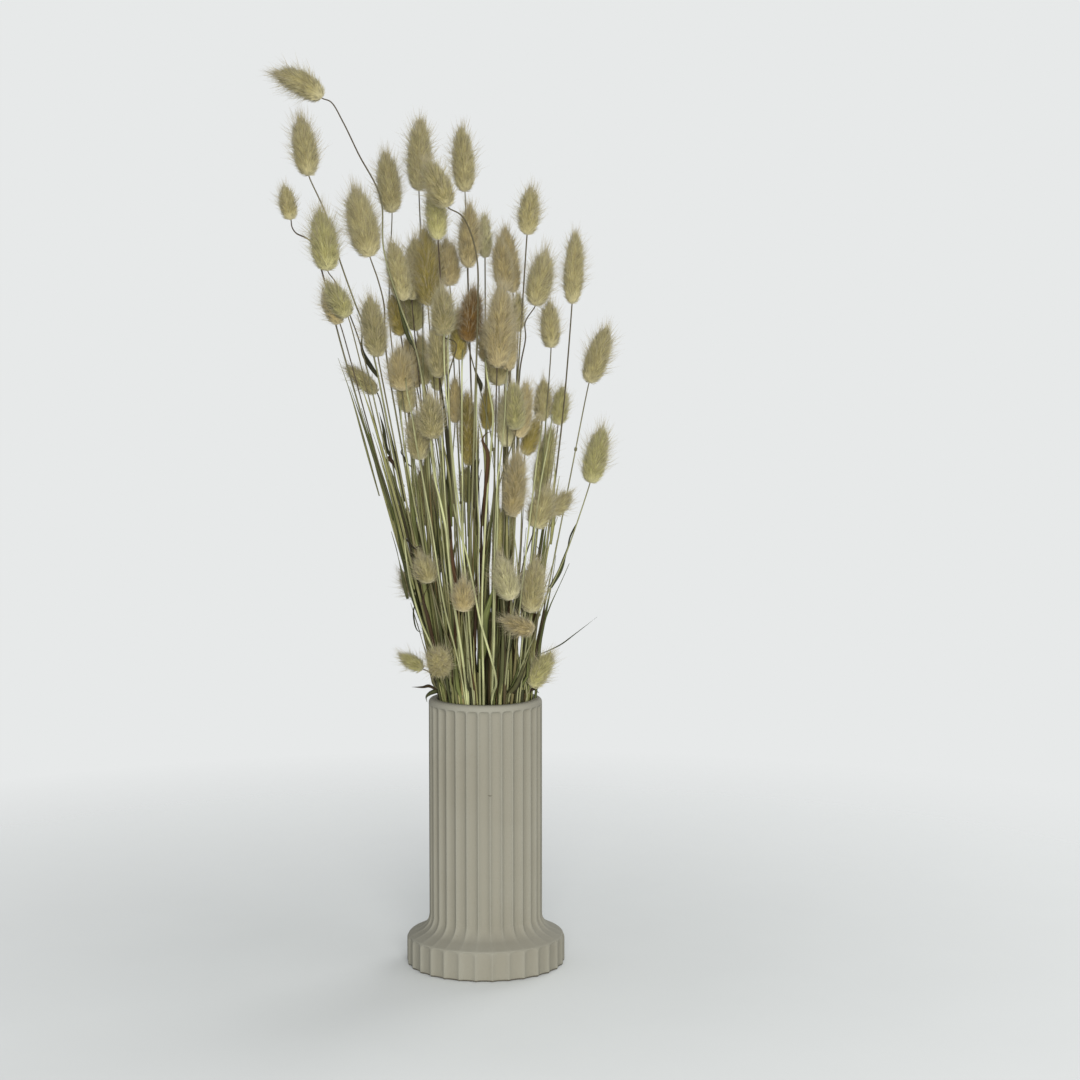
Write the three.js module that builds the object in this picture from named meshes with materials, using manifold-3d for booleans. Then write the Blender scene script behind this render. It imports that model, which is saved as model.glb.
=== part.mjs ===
// A fluted stoneware vase filled with dried bunny tail grass, in millimetres, +Z up.
// The origin is the middle of the vase's underside. The front of the bunch faces -Y.

import * as THREE from "three";
import { mergeVertices } from "three/addons/utils/BufferGeometryUtils.js";
import Module from "manifold-3d";

// Vase
const VASE_HEIGHT = 200;
const COLUMN_RADIUS = 42.5;
const COLUMN_START = 38;
const INNER_RADIUS = 35.5;
const INNER_TAPER = 2;
const FOOT_RADIUS = 59.5;
const FOOT_SIDE_HEIGHT = 18.5;
const FOOT_EDGE = 5;
const FOOT_FILLET = 13;
const RIM_EDGE = 2;
const RIM_BAND = 4;
const FLOOR_THICKNESS = 9;
const FLUTE_COUNT = 30;
const FLUTE_BED = 0.3;
const COLUMN_FLUTE_DEPTH = 1.5;
const FOOT_FLUTE_DEPTH = 1.2;
const FLARE_SCOOPS = [0.7, 1.2, COLUMN_FLUTE_DEPTH];

// Heads
const HEAD_SIDES = 8;
const HEAD_ROWS = [0.05, 0.18, 0.33, 0.49, 0.64, 0.77, 0.88];
const HEAD_WIDEST = 0.24;
const TIP_TAPER = 0.85;
const TIP_BLUNTNESS = 2.4;
const CORE_SHARE = 0.72;
const AWN_START = 0.05;
const AWN_FULL = 0.4;
const AWN_REACH = 3.2;
const AWN_LEAN = 6;
const AWN_CLOSING = 1.3;
const TIP_AWN = 6;

// Stems
const STEM_SIDES = 3;
const STEM_FOOT_RADIUS = 1.2;
const STEM_TOP_RADIUS = 0.55;
const STEM_STEP = 80;
const STEM_MIN_STEPS = 3;
const STEM_MAX_STEPS = 7;
const RESTING_GAP = 0.3;
const CLEARANCE = 1.6;
const NECK_RADIUS = 32.5;
const NECK_HEIGHT = 204;
const NECK_SPREAD = 1.35;
const NECK_JITTER = 7;
const LOWEST_AIM = 190;
const BUNDLE_PITCH = 3.6;
const BUNDLE_STEP = 1.4;
const BUNDLE_CORE = 1;
const SET_OFF = 0.25;
const LANDING = 0.2;
const SETTLE_ROUNDS = 220;
const SETTLE_LAST_ROUNDS = 20;
const SETTLE_PUSH = 0.3;
const SETTLE_SMOOTH = 0.12;
const SAMPLES_PER_STEP = 6;
const ROOM_START = 0.25;
const ROOM_END = 0.95;

// Leaves
const LEAF_THICKNESS = 0.8;
const LEAF_LEAST_WIDTH = 0.9;
const LEAF_WIDEST = 0.35;
const LEAF_ROOT_SHARE = 0.5;
const LEAF_POINT = 1.6;
const LEAF_STEPS = 5;

// Cubic millimetres that joining may leave loose
const LARGEST_SCRAP = 5;

// The bunch was measured as seen from one point in front of it: a place is a pixel across, a pixel down and
// a depth behind the vase's axis in millimetres.
const VIEW_POINT = new THREE.Vector3(41, -1658, 459);
const VIEW_PITCH = THREE.MathUtils.degToRad(4.79);
const VIEW_FOCAL = 2230;
const VIEW_CENTRE = 540;

const COLOURS = {
  vase: 0xa3a091,
  stems: 0x8a8758,
  sage: 0x96916a,
  green: 0x8f9160,
  olive: 0x7c7544,
  tan: 0xa5967a,
  brown: 0x7a6238,
  pale: 0xaeab86,
};

// One head: its colour, where its foot and its tip are seen, how wide it looks, the depth of its foot, how
// much deeper its tip lies, how far its middle bows upwards, and the places its stem passes on the way
// down, some with how much deeper than the foot they lie.
function head(hue, foot, tip, width, depth, { lean = 0, bow = 0, via = [] } = {}) {
  return { hue, foot, tip, width, depth, lean, bow, via };
}

// Each inner list is one body: one head, or heads that are pressed against each other.
const HEADS = [
  [head("sage", [322, 98], [276, 74], 24, -8, {
    bow: 6,
    via: [
      [331, 102], [343, 122], [357, 155], [374, 200],
      [388, 250], [402, 301], [415, 350], [424, 400],
    ],
  })],
  [head("sage", [309, 176], [300, 117], 24, 20, {
    via: [[325, 212], [339, 258], [355, 303], [370, 342]],
  })],
  [head("sage", [291, 220], [284, 186], 17, 12, {
    via: [[292, 227], [296, 233], [304, 237], [311, 242]],
  })],
  [head("green", [328, 271], [320, 211], 27, -10, { via: [[336, 283], [351, 318], [362, 350]] })],
  [head("sage", [370, 257], [354, 189], 30, -5, { via: [[378, 280], [384, 305], [389, 345]] })],
  [head("sage", [392, 213], [385, 152], 23, 30)],
  [head("sage", [419, 191], [420, 119], 24, 18)],
  [head("sage", [448, 207], [427, 162], 25, -45, {
    lean: -8,
    via: [[461, 215], [470, 231], [477, 259], [478, 300]],
  })],
  [head("green", [438, 240], [434, 182], 21, -8)],
  [head("sage", [465, 192], [461, 127], 22, 42)],
  [head("tan", [468, 268], [470, 204], 21, 2)],
  [head("pale", [485, 258], [484, 214], 15, 62)],
  [head("sage", [527, 235], [531, 188], 21, -10)],
  [
    head("tan", [513, 293], [504, 226], 20, 35),
    head("tan", [506, 291], [499, 239], 20, 22),
  ],
  [
    head("sage", [535, 306], [546, 252], 25, 2, { via: [[527, 319], [522, 336], [520, 370]] }),
    head("sage", [551, 348], [549, 302], 20, 2),
  ],
  [head("sage", [572, 304], [576, 231], 20, 10)],
  [head("sage", [589, 383], [607, 328], 23, 15)],
  [head("green", [590, 483], [603, 428], 23, -10)],
  [head("sage", [404, 301], [392, 242], 22, -2)],
  [
    head("sage", [412, 300], [415, 238], 20, 16),
    head("olive", [428, 306], [425, 229], 26, 12),
  ],
  [
    head("tan", [435, 304], [438, 243], 16, 38),
    head("tan", [450, 286], [446, 241], 23, 30),
  ],
  [head("green", [417, 331], [403, 272], 22, 44)],
  [head("olive", [401, 336], [392, 295], 18, 16)],
  [
    head("sage", [444, 336], [442, 288], 24, -45, { via: [[445, 345, -5], [448, 380, -8]] }),
    head("sage", [439, 378], [437, 322], 21, -38),
  ],
  [
    head("brown", [468, 342], [474, 289], 24, -24),
    head("olive", [459, 360], [458, 310], 18, -12),
  ],
  [
    head("tan", [497, 368], [502, 287], 26, -45),
    head("tan", [509, 371], [500, 280], 22, -32),
  ],
  [
    head("sage", [499, 386], [495, 332], 24, 5),
    head("tan", [487, 363], [486, 322], 18, 15),
  ],
  [head("sage", [518, 332], [518, 293], 13, 5)],
  [
    head("green", [348, 317], [328, 283], 22, -40),
    head("tan", [340, 324], [324, 292], 18, -28),
  ],
  [head("sage", [378, 357], [369, 298], 24, -25)],
  [head("sage", [377, 393], [346, 366], 16, 30)],
  [
    head("tan", [402, 391], [399, 350], 25, -22),
    head("sage", [408, 413], [403, 368], 19, -10),
  ],
  [
    head("tan", [417, 388], [406, 338], 16, 25),
    head("sage", [425, 385], [420, 335], 18, 33),
    head("green", [437, 391], [436, 336], 15, 27),
  ],
  [
    head("sage", [432, 439], [430, 397], 25, -52, { lean: -6 }),
    head("sage", [420, 460], [415, 415], 22, -40),
  ],
  [head("tan", [455, 423], [455, 379], 16, 5)],
  [head("olive", [469, 466], [467, 391], 18, -22)],
  [head("olive", [487, 430], [487, 388], 15, 25)],
  [
    head("green", [516, 430], [513, 383], 21, -50),
    head("tan", [519, 438], [527, 383], 20, -38),
  ],
  [
    head("sage", [542, 421], [544, 380], 18, 33),
    head("green", [558, 425], [562, 388], 18, 35),
  ],
  [head("pale", [507, 447], [504, 396], 19, -20)],
  [head("olive", [525, 455], [538, 418], 18, -8)],
  [head("green", [538, 494], [552, 426], 18, 14)],
  [head("tan", [512, 517], [518, 452], 23, -50)],
  [
    head("sage", [535, 528], [548, 489], 25, -26),
    head("sage", [552, 514], [570, 493], 18, -18),
  ],
  [head("sage", [430, 527], [424, 466], 24, 30)],
  [head("green", [468, 503], [466, 468], 15, 5)],
  [head("sage", [419, 541], [399, 506], 16, 55)],
  [head("sage", [430, 583], [421, 556], 22, -42)],
  [head("sage", [424, 598], [402, 574], 20, 52)],
  [head("tan", [463, 612], [463, 580], 21, -58)],
  [head("pale", [512, 600], [499, 558], 24, -46)],
  [head("green", [502, 555], [498, 506], 16, -14)],
  [head("sage", [530, 613], [536, 560], 24, -28)],
  [head("tan", [534, 631], [503, 620], 19, -52)],
  [head("sage", [441, 671], [436, 653], 23, -28, { lean: -28 })],
  [
    head("sage", [436, 645], [432, 612], 19, 20),
    head("olive", [441, 612], [434, 584], 18, 16),
  ],
  [head("green", [423, 669], [400, 655], 15, -5, { via: [[429, 672], [433, 679], [435, 686]] })],
  [head("green", [531, 687], [551, 653], 20, -8)],
];

// One leaf: the stem it grows from (counted through all the heads, from 0), the height at which it leaves
// it, its width, how far it twists in degrees, and the places it passes out to its tip, each with its depth
// behind the place where it leaves.
function leaf(stem, height, width, twist, places) {
  return { stem, height, width, twist, places };
}

const LEAVES = [
  leaf(19, 284, 5, 150, [[561, 570, -2], [567, 552, -3], [571, 536, -4], [579, 519, -4]]),
  leaf(1, 441, 4.5, 120, [[371, 366, -2], [363, 350, -3], [362, 331, -3], [357, 314, -4]]),
  leaf(0, 461, 3.5, 60, [[409, 338, -1], [403, 318, -2], [398, 300, -2], [393, 288, -2]]),
  leaf(39, 381, 4, 90, [[389, 458, -2], [393, 464, -3], [398, 475, -4], [405, 487, -4]]),
  leaf(39, 381, 3.5, 40, [[386, 448, -1], [384, 430, -1], [379, 412, -1]]),
  leaf(37, 273, 1.2, 0, [[414, 612, -1], [415, 625, -2], [418, 631, -2], [422, 632, -2]]),
  leaf(73, 206, 2.5, 30, [[430, 686, -4], [421, 685, -6], [411, 687, -8]]),
  leaf(4, 206, 3.5, 60, [[433, 690, -3], [428, 692, -4], [425, 699, -6]]),
  leaf(19, 206, 3, 60, [[532, 690, 2], [535, 690, 3], [539, 693, 3]]),
  leaf(18, 231, 1, 0, [[560, 645, 6], [575, 634, 6], [597, 617, 6]]),
  leaf(52, 303, 1.5, 0, [[532, 559, 0], [537, 556, 0], [539, 550, 0], [534, 543, 0]]),
  leaf(28, 304, 6, 20, [[452, 548, -4], [452, 535, -5], [450, 517, -4]]),
  leaf(40, 375, 1.3, 0, [[406, 462, -1], [404, 457, -2], [401, 452, -2], [403, 447, -2]]),
  leaf(29, 381, 2.5, 90, [[488, 450, -4], [486, 441, -5], [487, 434, -5], [492, 431, -5]]),
  leaf(29, 431, 3, 40, [[481, 385, -2], [478, 377, -2], [475, 368, -2]]),
  leaf(37, 258, 3.5, 90, [[426, 612, -4], [425, 601, -5], [427, 592, -6], [430, 586, -6]]),
  leaf(29, 242, 5, 30, [[482, 625, -6], [485, 602, -8], [493, 586, -8]]),
];

function photoPoint([across, down], depth) {
  const forward = new THREE.Vector3(0, Math.cos(VIEW_PITCH), -Math.sin(VIEW_PITCH));
  const upward = new THREE.Vector3(0, Math.sin(VIEW_PITCH), Math.cos(VIEW_PITCH));
  const ray = forward
    .addScaledVector(new THREE.Vector3(1, 0, 0), (across - VIEW_CENTRE) / VIEW_FOCAL)
    .addScaledVector(upward, (VIEW_CENTRE - down) / VIEW_FOCAL);
  return VIEW_POINT.clone().addScaledVector(ray, (depth - VIEW_POINT.y) / ray.y);
}

function millimetresPerPixel(depth) {
  return (depth - VIEW_POINT.y) / VIEW_FOCAL;
}

function clamp(value, low, high) {
  return Math.min(high, Math.max(low, value));
}

// A draw between 0 and 1 that depends only on its number.
function draw(number) {
  const value = Math.sin(number * 12.9898 + 4.1414) * 43758.5453;
  return value - Math.floor(value);
}

// Solids

function toSolid(geometry) {
  const bare = geometry.clone();
  bare.deleteAttribute("normal");
  bare.deleteAttribute("uv");
  const merged = mergeVertices(bare);
  const solid = new wasm.Manifold(
    new wasm.Mesh({
      numProp: 3,
      vertProperties: new Float32Array(merged.attributes.position.array),
      triVerts: new Uint32Array(merged.index.array),
    }),
  );
  return solid;
}

function toGeometry(solid) {
  const mesh = solid.getMesh();
  const geometry = new THREE.BufferGeometry();
  const places = new Float32Array(mesh.vertProperties);
  geometry.setAttribute("position", new THREE.BufferAttribute(places, 3));
  geometry.setIndex(new THREE.BufferAttribute(new Uint32Array(mesh.triVerts), 1));
  return geometry;
}

// Joins the pieces and keeps the one large body, so no scrap stays. Pieces that belong together must touch.
function fuse(geometries) {
  let joined = toSolid(geometries[0]);
  for (const geometry of geometries.slice(1)) {
    joined = joined.add(toSolid(geometry));
  }
  const bodies = joined.decompose();
  bodies.sort((one, other) => other.volume() - one.volume());
  if (bodies.length > 1 && bodies[1].volume() > LARGEST_SCRAP) {
    throw new Error("two pieces of one body lie apart");
  }
  return toGeometry(bodies[0]);
}

// Vase

// Points on an arc of the outline, with its angles in degrees from straight outwards.
function arc(radius, height, size, from, to, steps) {
  return Array.from({ length: steps + 1 }, (_, step) => {
    const turn = THREE.MathUtils.degToRad(THREE.MathUtils.lerp(from, to, step / steps));
    return [radius + size * Math.cos(turn), height + size * Math.sin(turn)];
  });
}

// The outline from the middle of the underside to the middle of the floor. The flutes run up the foot's
// side, leave its top plain, deepen again where the column flares out of it, and end below the rim.
function vaseProfile() {
  const footTop = arc(FOOT_RADIUS - FOOT_EDGE, FOOT_SIDE_HEIGHT, FOOT_EDGE, 32.5, 65, 1);
  const flare = arc(COLUMN_RADIUS + FOOT_FILLET, COLUMN_START, FOOT_FILLET, 245, 180, 2);
  return [
    { radius: 0, height: 0, scoop: 0 },
    { radius: FOOT_RADIUS, height: 0, scoop: FOOT_FLUTE_DEPTH },
    { radius: FOOT_RADIUS, height: FOOT_SIDE_HEIGHT, scoop: FOOT_FLUTE_DEPTH },
    ...footTop.map(([radius, height]) => ({ radius, height, scoop: 0 })),
    ...flare.map(([radius, height], step) => ({ radius, height, scoop: FLARE_SCOOPS[step] })),
    { radius: COLUMN_RADIUS, height: VASE_HEIGHT - RIM_BAND, scoop: COLUMN_FLUTE_DEPTH },
    { radius: COLUMN_RADIUS, height: VASE_HEIGHT - RIM_EDGE, scoop: 0 },
    { radius: COLUMN_RADIUS - RIM_EDGE, height: VASE_HEIGHT, scoop: 0 },
    { radius: INNER_RADIUS, height: VASE_HEIGHT, scoop: 0 },
    { radius: INNER_RADIUS - INNER_TAPER, height: FLOOR_THICKNESS, scoop: 0 },
    { radius: 0, height: FLOOR_THICKNESS, scoop: 0 },
  ];
}

// The lathe's three columns of points in each flute become its sharp edge and the two sides of its bed.
function vaseGeometry() {
  const profile = vaseProfile();
  const outline = profile.map(({ radius, height }) => new THREE.Vector2(radius, height));
  const geometry = new THREE.LatheGeometry(outline, FLUTE_COUNT * 3);
  geometry.rotateX(Math.PI / 2);
  geometry.rotateZ(Math.PI / 2);
  const places = geometry.attributes.position;
  const flute = (2 * Math.PI) / FLUTE_COUNT;
  for (let index = 0; index < places.count; index += 1) {
    const point = new THREE.Vector3().fromBufferAttribute(places, index);
    const { radius, scoop } = profile[index % profile.length];
    const column = Math.round(Math.atan2(point.y, point.x) / (flute / 3));
    const part = ((column % 3) + 3) % 3;
    const edge = Math.round((column - (part === 2 ? -1 : part)) / 3) * flute;
    const turn = part === 0 ? 0 : (part === 1 ? 1 : -1) * FLUTE_BED * flute;
    const reach = part === 0 ? radius : radius - scoop;
    places.setXYZ(index, reach * Math.cos(edge + turn), reach * Math.sin(edge + turn), point.z);
  }
  return geometry;
}

// Heads

function headAxis(seed) {
  const foot = photoPoint(seed.foot, seed.depth);
  const tip = photoPoint(seed.tip, seed.depth + seed.lean);
  const middle = foot.clone().lerp(tip, 0.5);
  middle.z += seed.bow;
  return new THREE.QuadraticBezierCurve3(foot, middle, tip);
}

function headRadius(seed) {
  return (seed.width / 2) * millimetresPerPixel(seed.depth);
}

// Share of the full radius along the head: a round foot, a long full middle, then a blunt taper.
function headFullness(share) {
  if (share < HEAD_WIDEST) {
    return Math.sqrt(1 - ((HEAD_WIDEST - share) / HEAD_WIDEST) ** 2);
  }
  return 1 - TIP_TAPER * ((share - HEAD_WIDEST) / (1 - HEAD_WIDEST)) ** TIP_BLUNTNESS;
}

// Rows of points round a curved axis. Every second point is pulled out and up as an awn, and the others
// stay in the core, so each awn is a four-sided spike of its own. The foot has none, and towards the tip
// they stand upright.
function headGeometry(seed) {
  const axis = headAxis(seed);
  const full = headRadius(seed);
  const places = [];
  const corners = [];
  const foot = axis.getPoint(0);
  const tip = axis.getPoint(1).addScaledVector(axis.getTangent(1), TIP_AWN);
  for (const [row, share] of HEAD_ROWS.entries()) {
    const centre = axis.getPoint(share);
    const along = axis.getTangent(share);
    const side = new THREE.Vector3(0, 1, 0).cross(along).normalize();
    const front = along.clone().cross(side);
    const awned = THREE.MathUtils.smoothstep(share, AWN_START, AWN_FULL);
    const outwards = AWN_REACH * awned * (1 - AWN_CLOSING * share ** 4);
    for (let column = 0; column < HEAD_SIDES; column += 1) {
      const turn = (2 * Math.PI * column) / HEAD_SIDES;
      const awn = (row + column) % 2 === 0;
      const spread = full * headFullness(share);
      const reach = awn ? spread + outwards : spread * (awned > 0 ? CORE_SHARE : 1);
      places.push(
        centre
          .clone()
          .addScaledVector(side, reach * Math.cos(turn))
          .addScaledVector(front, reach * Math.sin(turn))
          .addScaledVector(along, awn ? AWN_LEAN * awned : 0),
      );
    }
  }
  const at = (row, column) => row * HEAD_SIDES + (column % HEAD_SIDES);
  for (let row = 0; row < HEAD_ROWS.length - 1; row += 1) {
    for (let column = 0; column < HEAD_SIDES; column += 1) {
      const [a, b] = [at(row, column), at(row, column + 1)];
      const [d, c] = [at(row + 1, column), at(row + 1, column + 1)];
      corners.push(...((row + column) % 2 === 0 ? [a, b, d, b, c, d] : [a, b, c, a, c, d]));
    }
  }
  const [footCorner, tipCorner] = [places.length, places.length + 1];
  places.push(foot, tip);
  for (let column = 0; column < HEAD_SIDES; column += 1) {
    corners.push(footCorner, at(0, column + 1), at(0, column));
    corners.push(tipCorner, at(HEAD_ROWS.length - 1, column), at(HEAD_ROWS.length - 1, column + 1));
  }
  const geometry = new THREE.BufferGeometry().setFromPoints(places);
  geometry.setIndex(corners);
  return geometry;
}

// Stems

// The room that a head and its awns take, as a capsule.
function headRoom(seed) {
  const axis = headAxis(seed);
  return {
    low: axis.getPoint(ROOM_START),
    high: axis.getPoint(ROOM_END),
    radius: headRadius(seed) + AWN_REACH + CLEARANCE,
  };
}

// Where the stem passes the vase's neck: towards its head, within the bundle.
function neckPlace(seed, number) {
  const foot = photoPoint(seed.foot, seed.depth);
  const rise = Math.max(foot.z - FLOOR_THICKNESS, LOWEST_AIM);
  const share = (NECK_SPREAD * (NECK_HEIGHT - FLOOR_THICKNESS)) / rise;
  const place = new THREE.Vector2(
    foot.x * share + NECK_JITTER * (draw(2 * number) - 0.5),
    foot.y * share + NECK_JITTER * (draw(2 * number + 1) - 0.5),
  );
  return place.clampLength(0, NECK_RADIUS);
}

// The stems' lower ends stand on the vase's floor along a spiral, each touching the next, and in the same
// order as they pass the neck.
function floorPlaces(necks) {
  const order = necks.map((place, number) => number);
  order.sort((one, other) => necks[one].length() - necks[other].length());
  const places = [];
  let angle = 0;
  let start = 0;
  while (start < order.length) {
    const turn = [];
    let next = angle;
    while (next < angle + 2 * Math.PI && start + turn.length < order.length) {
      turn.push(next);
      next += BUNDLE_STEP / spiralRadius(next);
    }
    const members = order.slice(start, start + turn.length);
    const phase = (number) => (necks[number].angle() - angle + 8 * Math.PI) % (2 * Math.PI);
    members.sort((one, other) => phase(one) - phase(other));
    for (const [index, number] of members.entries()) {
      const radius = spiralRadius(turn[index]);
      places[number] = new THREE.Vector2(radius * Math.cos(turn[index]), radius * Math.sin(turn[index]));
    }
    start += turn.length;
    angle = next;
  }
  return places;
}

function spiralRadius(angle) {
  return Math.max(BUNDLE_CORE, (BUNDLE_PITCH * angle) / (2 * Math.PI));
}

function stemRoute(seed, neck, floor) {
  const axis = headAxis(seed);
  const arrival = axis.getTangent(0);
  const low = new THREE.Vector3(floor.x, floor.y, FLOOR_THICKNESS + RESTING_GAP);
  const mouth = new THREE.Vector3(neck.x, neck.y, NECK_HEIGHT);
  const places = seed.via
    .map(([across, down, behind = 0]) => photoPoint([across, down], seed.depth + behind))
    .reverse();
  const goal = places.length > 0 ? places[0] : axis.getPoint(0);
  const length = mouth.distanceTo(goal);
  const steps = clamp(Math.round(length / STEM_STEP), STEM_MIN_STEPS, STEM_MAX_STEPS);
  const setOff = mouth.clone().sub(low).normalize();
  const landing = places.length > 0 ? goal.clone().sub(mouth).normalize() : arrival;
  const middle = new THREE.CubicBezierCurve3(
    mouth,
    mouth.clone().addScaledVector(setOff, length * SET_OFF),
    goal.clone().addScaledVector(landing, -length * LANDING),
    goal,
  );
  const route = [low, ...middle.getPoints(steps), ...places.slice(1)];
  if (places.length > 0) {
    route.push(axis.getPoint(0));
  }
  const end = route[route.length - 1];
  const last = end.clone().sub(route[route.length - 2]).normalize();
  const tilt = Math.sqrt(Math.max(0, 1 - last.dot(arrival) ** 2));
  end.addScaledVector(arrival, -RESTING_GAP - STEM_TOP_RADIUS * tilt);
  return route;
}

function nearestOnSegment(point, low, high) {
  const span = high.clone().sub(low);
  const share = clamp(point.clone().sub(low).dot(span) / span.lengthSq(), 0, 1);
  return low.clone().addScaledVector(span, share);
}

// Bends a stem clear of the other heads: each sample that lies in a head's room pushes the two points it
// lies between, and the points that weren't measured are smoothed. The floor, neck and head ends stay.
function settle(route, measured, rooms) {
  const firstFree = 2;
  const lastFree = route.length - 2;
  for (let round = 0; round < SETTLE_ROUNDS; round += 1) {
    const shifts = route.map(() => new THREE.Vector3());
    for (let step = firstFree - 1; step < route.length - 1; step += 1) {
      for (let part = 0; part < SAMPLES_PER_STEP; part += 1) {
        const share = part / SAMPLES_PER_STEP;
        const sample = route[step].clone().lerp(route[step + 1], share);
        for (const room of rooms) {
          const away = sample.clone().sub(nearestOnSegment(sample, room.low, room.high));
          const short = room.radius - away.length();
          if (short > 0) {
            away.setLength(short * SETTLE_PUSH);
            shifts[step].addScaledVector(away, 1 - share);
            shifts[step + 1].addScaledVector(away, share);
          }
        }
      }
    }
    const smooth = round < SETTLE_ROUNDS - SETTLE_LAST_ROUNDS ? SETTLE_SMOOTH : 0;
    const before = route.map((point) => point.clone());
    for (let index = firstFree; index <= lastFree; index += 1) {
      const middle = before[index - 1].clone().add(before[index + 1]).multiplyScalar(0.5);
      route[index].lerp(middle, index > lastFree - measured ? 0 : smooth).add(shifts[index]);
    }
  }
  return route;
}

function layStems() {
  const seeds = HEADS.flat();
  const necks = seeds.map((seed, number) => neckPlace(seed, number));
  const floors = floorPlaces(necks);
  return seeds.map((seed, number) => {
    const rooms = seeds.filter((other) => other !== seed).map(headRoom);
    return settle(stemRoute(seed, necks[number], floors[number]), seed.via.length, rooms);
  });
}

// A straight bar from z = 0 to z = 1 becomes a bar along the route, one ring of corners for each point.
function bendAlong(geometry, route, width, thickness, twist = 0) {
  const places = geometry.attributes.position;
  const last = route.length - 1;
  for (let index = 0; index < places.count; index += 1) {
    const corner = new THREE.Vector3().fromBufferAttribute(places, index);
    const ring = clamp(Math.round(corner.z * last), 0, last);
    const share = ring / last;
    const along = route[Math.min(ring + 1, last)].clone().sub(route[Math.max(ring - 1, 0)]).normalize();
    const side = new THREE.Vector3(0, 1, 0).cross(along).normalize().applyAxisAngle(along, twist * share);
    const front = along.clone().cross(side);
    const point = route[ring]
      .clone()
      .addScaledVector(side, corner.x * width(share))
      .addScaledVector(front, corner.y * thickness(share));
    places.setXYZ(index, point.x, point.y, point.z);
  }
  return geometry;
}

function stemGeometry(route) {
  const bar = new THREE.CylinderGeometry(1, 1, 1, STEM_SIDES, route.length - 1);
  bar.rotateX(Math.PI / 2).translate(0, 0, 0.5);
  const radius = (share) => THREE.MathUtils.lerp(STEM_FOOT_RADIUS, STEM_TOP_RADIUS, share);
  return bendAlong(bar, route, radius, radius);
}

// Leaves

function placeAtHeight(route, height) {
  const step = route.findIndex((point) => point.z >= height);
  const share = (height - route[step - 1].z) / (route[step].z - route[step - 1].z);
  return route[step - 1].clone().lerp(route[step], share);
}

function leafRoute(blade, stemRoutes) {
  const root = placeAtHeight(stemRoutes[blade.stem], blade.height);
  const places = blade.places.map(([across, down, behind]) => photoPoint([across, down], root.y + behind));
  return new THREE.CatmullRomCurve3([root, ...places]).getPoints(LEAF_STEPS);
}

// Narrow where it leaves the stem, widest at a third of its length, and drawn out to a point.
function leafFullness(share) {
  if (share < LEAF_WIDEST) {
    return THREE.MathUtils.lerp(LEAF_ROOT_SHARE, 1, share / LEAF_WIDEST);
  }
  return 1 - ((share - LEAF_WIDEST) / (1 - LEAF_WIDEST)) ** LEAF_POINT;
}

function leafGeometry(blade, stemRoutes) {
  const bar = new THREE.BoxGeometry(1, 1, 1, 1, 1, LEAF_STEPS).translate(0, 0, 0.5);
  const width = (share) => Math.max(blade.width * leafFullness(share), LEAF_LEAST_WIDTH);
  const twist = THREE.MathUtils.degToRad(blade.twist);
  return bendAlong(bar, leafRoute(blade, stemRoutes), width, () => LEAF_THICKNESS, twist);
}

// The whole object

function material(colour) {
  return new THREE.MeshStandardMaterial({ color: colour, roughness: 0.9, metalness: 0 });
}

function piece(name, geometry, colour) {
  const mesh = new THREE.Mesh(geometry, material(colour));
  mesh.name = name;
  return mesh;
}

const wasm = await Module();
wasm.setup();

const group = new THREE.Group();
group.add(piece("vase", toGeometry(toSolid(vaseGeometry())), COLOURS.vase));
const stemRoutes = layStems();
const blades = LEAVES.map((blade) => leafGeometry(blade, stemRoutes));
group.add(piece("stems", fuse([...stemRoutes.map(stemGeometry), ...blades]), COLOURS.stems));
for (const [number, seeds] of HEADS.entries()) {
  const name = `tail_${String(number + 1).padStart(2, "0")}`;
  group.add(piece(name, fuse(seeds.map(headGeometry)), COLOURS[seeds[0].hue]));
}

export default group;
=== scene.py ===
import math

import bpy
import numpy as np
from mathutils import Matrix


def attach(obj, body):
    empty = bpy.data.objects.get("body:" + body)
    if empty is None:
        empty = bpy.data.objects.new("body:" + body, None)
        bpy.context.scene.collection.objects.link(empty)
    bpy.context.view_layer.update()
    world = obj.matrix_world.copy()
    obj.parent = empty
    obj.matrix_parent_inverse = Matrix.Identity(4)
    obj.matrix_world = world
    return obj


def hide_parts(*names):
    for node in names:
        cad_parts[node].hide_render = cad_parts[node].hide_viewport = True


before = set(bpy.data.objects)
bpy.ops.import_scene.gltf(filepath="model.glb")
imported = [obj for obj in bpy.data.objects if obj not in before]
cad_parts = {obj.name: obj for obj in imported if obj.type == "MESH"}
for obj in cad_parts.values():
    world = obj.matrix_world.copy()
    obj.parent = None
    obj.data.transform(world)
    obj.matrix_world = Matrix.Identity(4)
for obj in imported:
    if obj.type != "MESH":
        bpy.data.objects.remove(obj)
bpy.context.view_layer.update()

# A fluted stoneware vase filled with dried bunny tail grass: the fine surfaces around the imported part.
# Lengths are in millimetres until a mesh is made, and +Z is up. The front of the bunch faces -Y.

METRES = 0.001
SEED = 7

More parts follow.
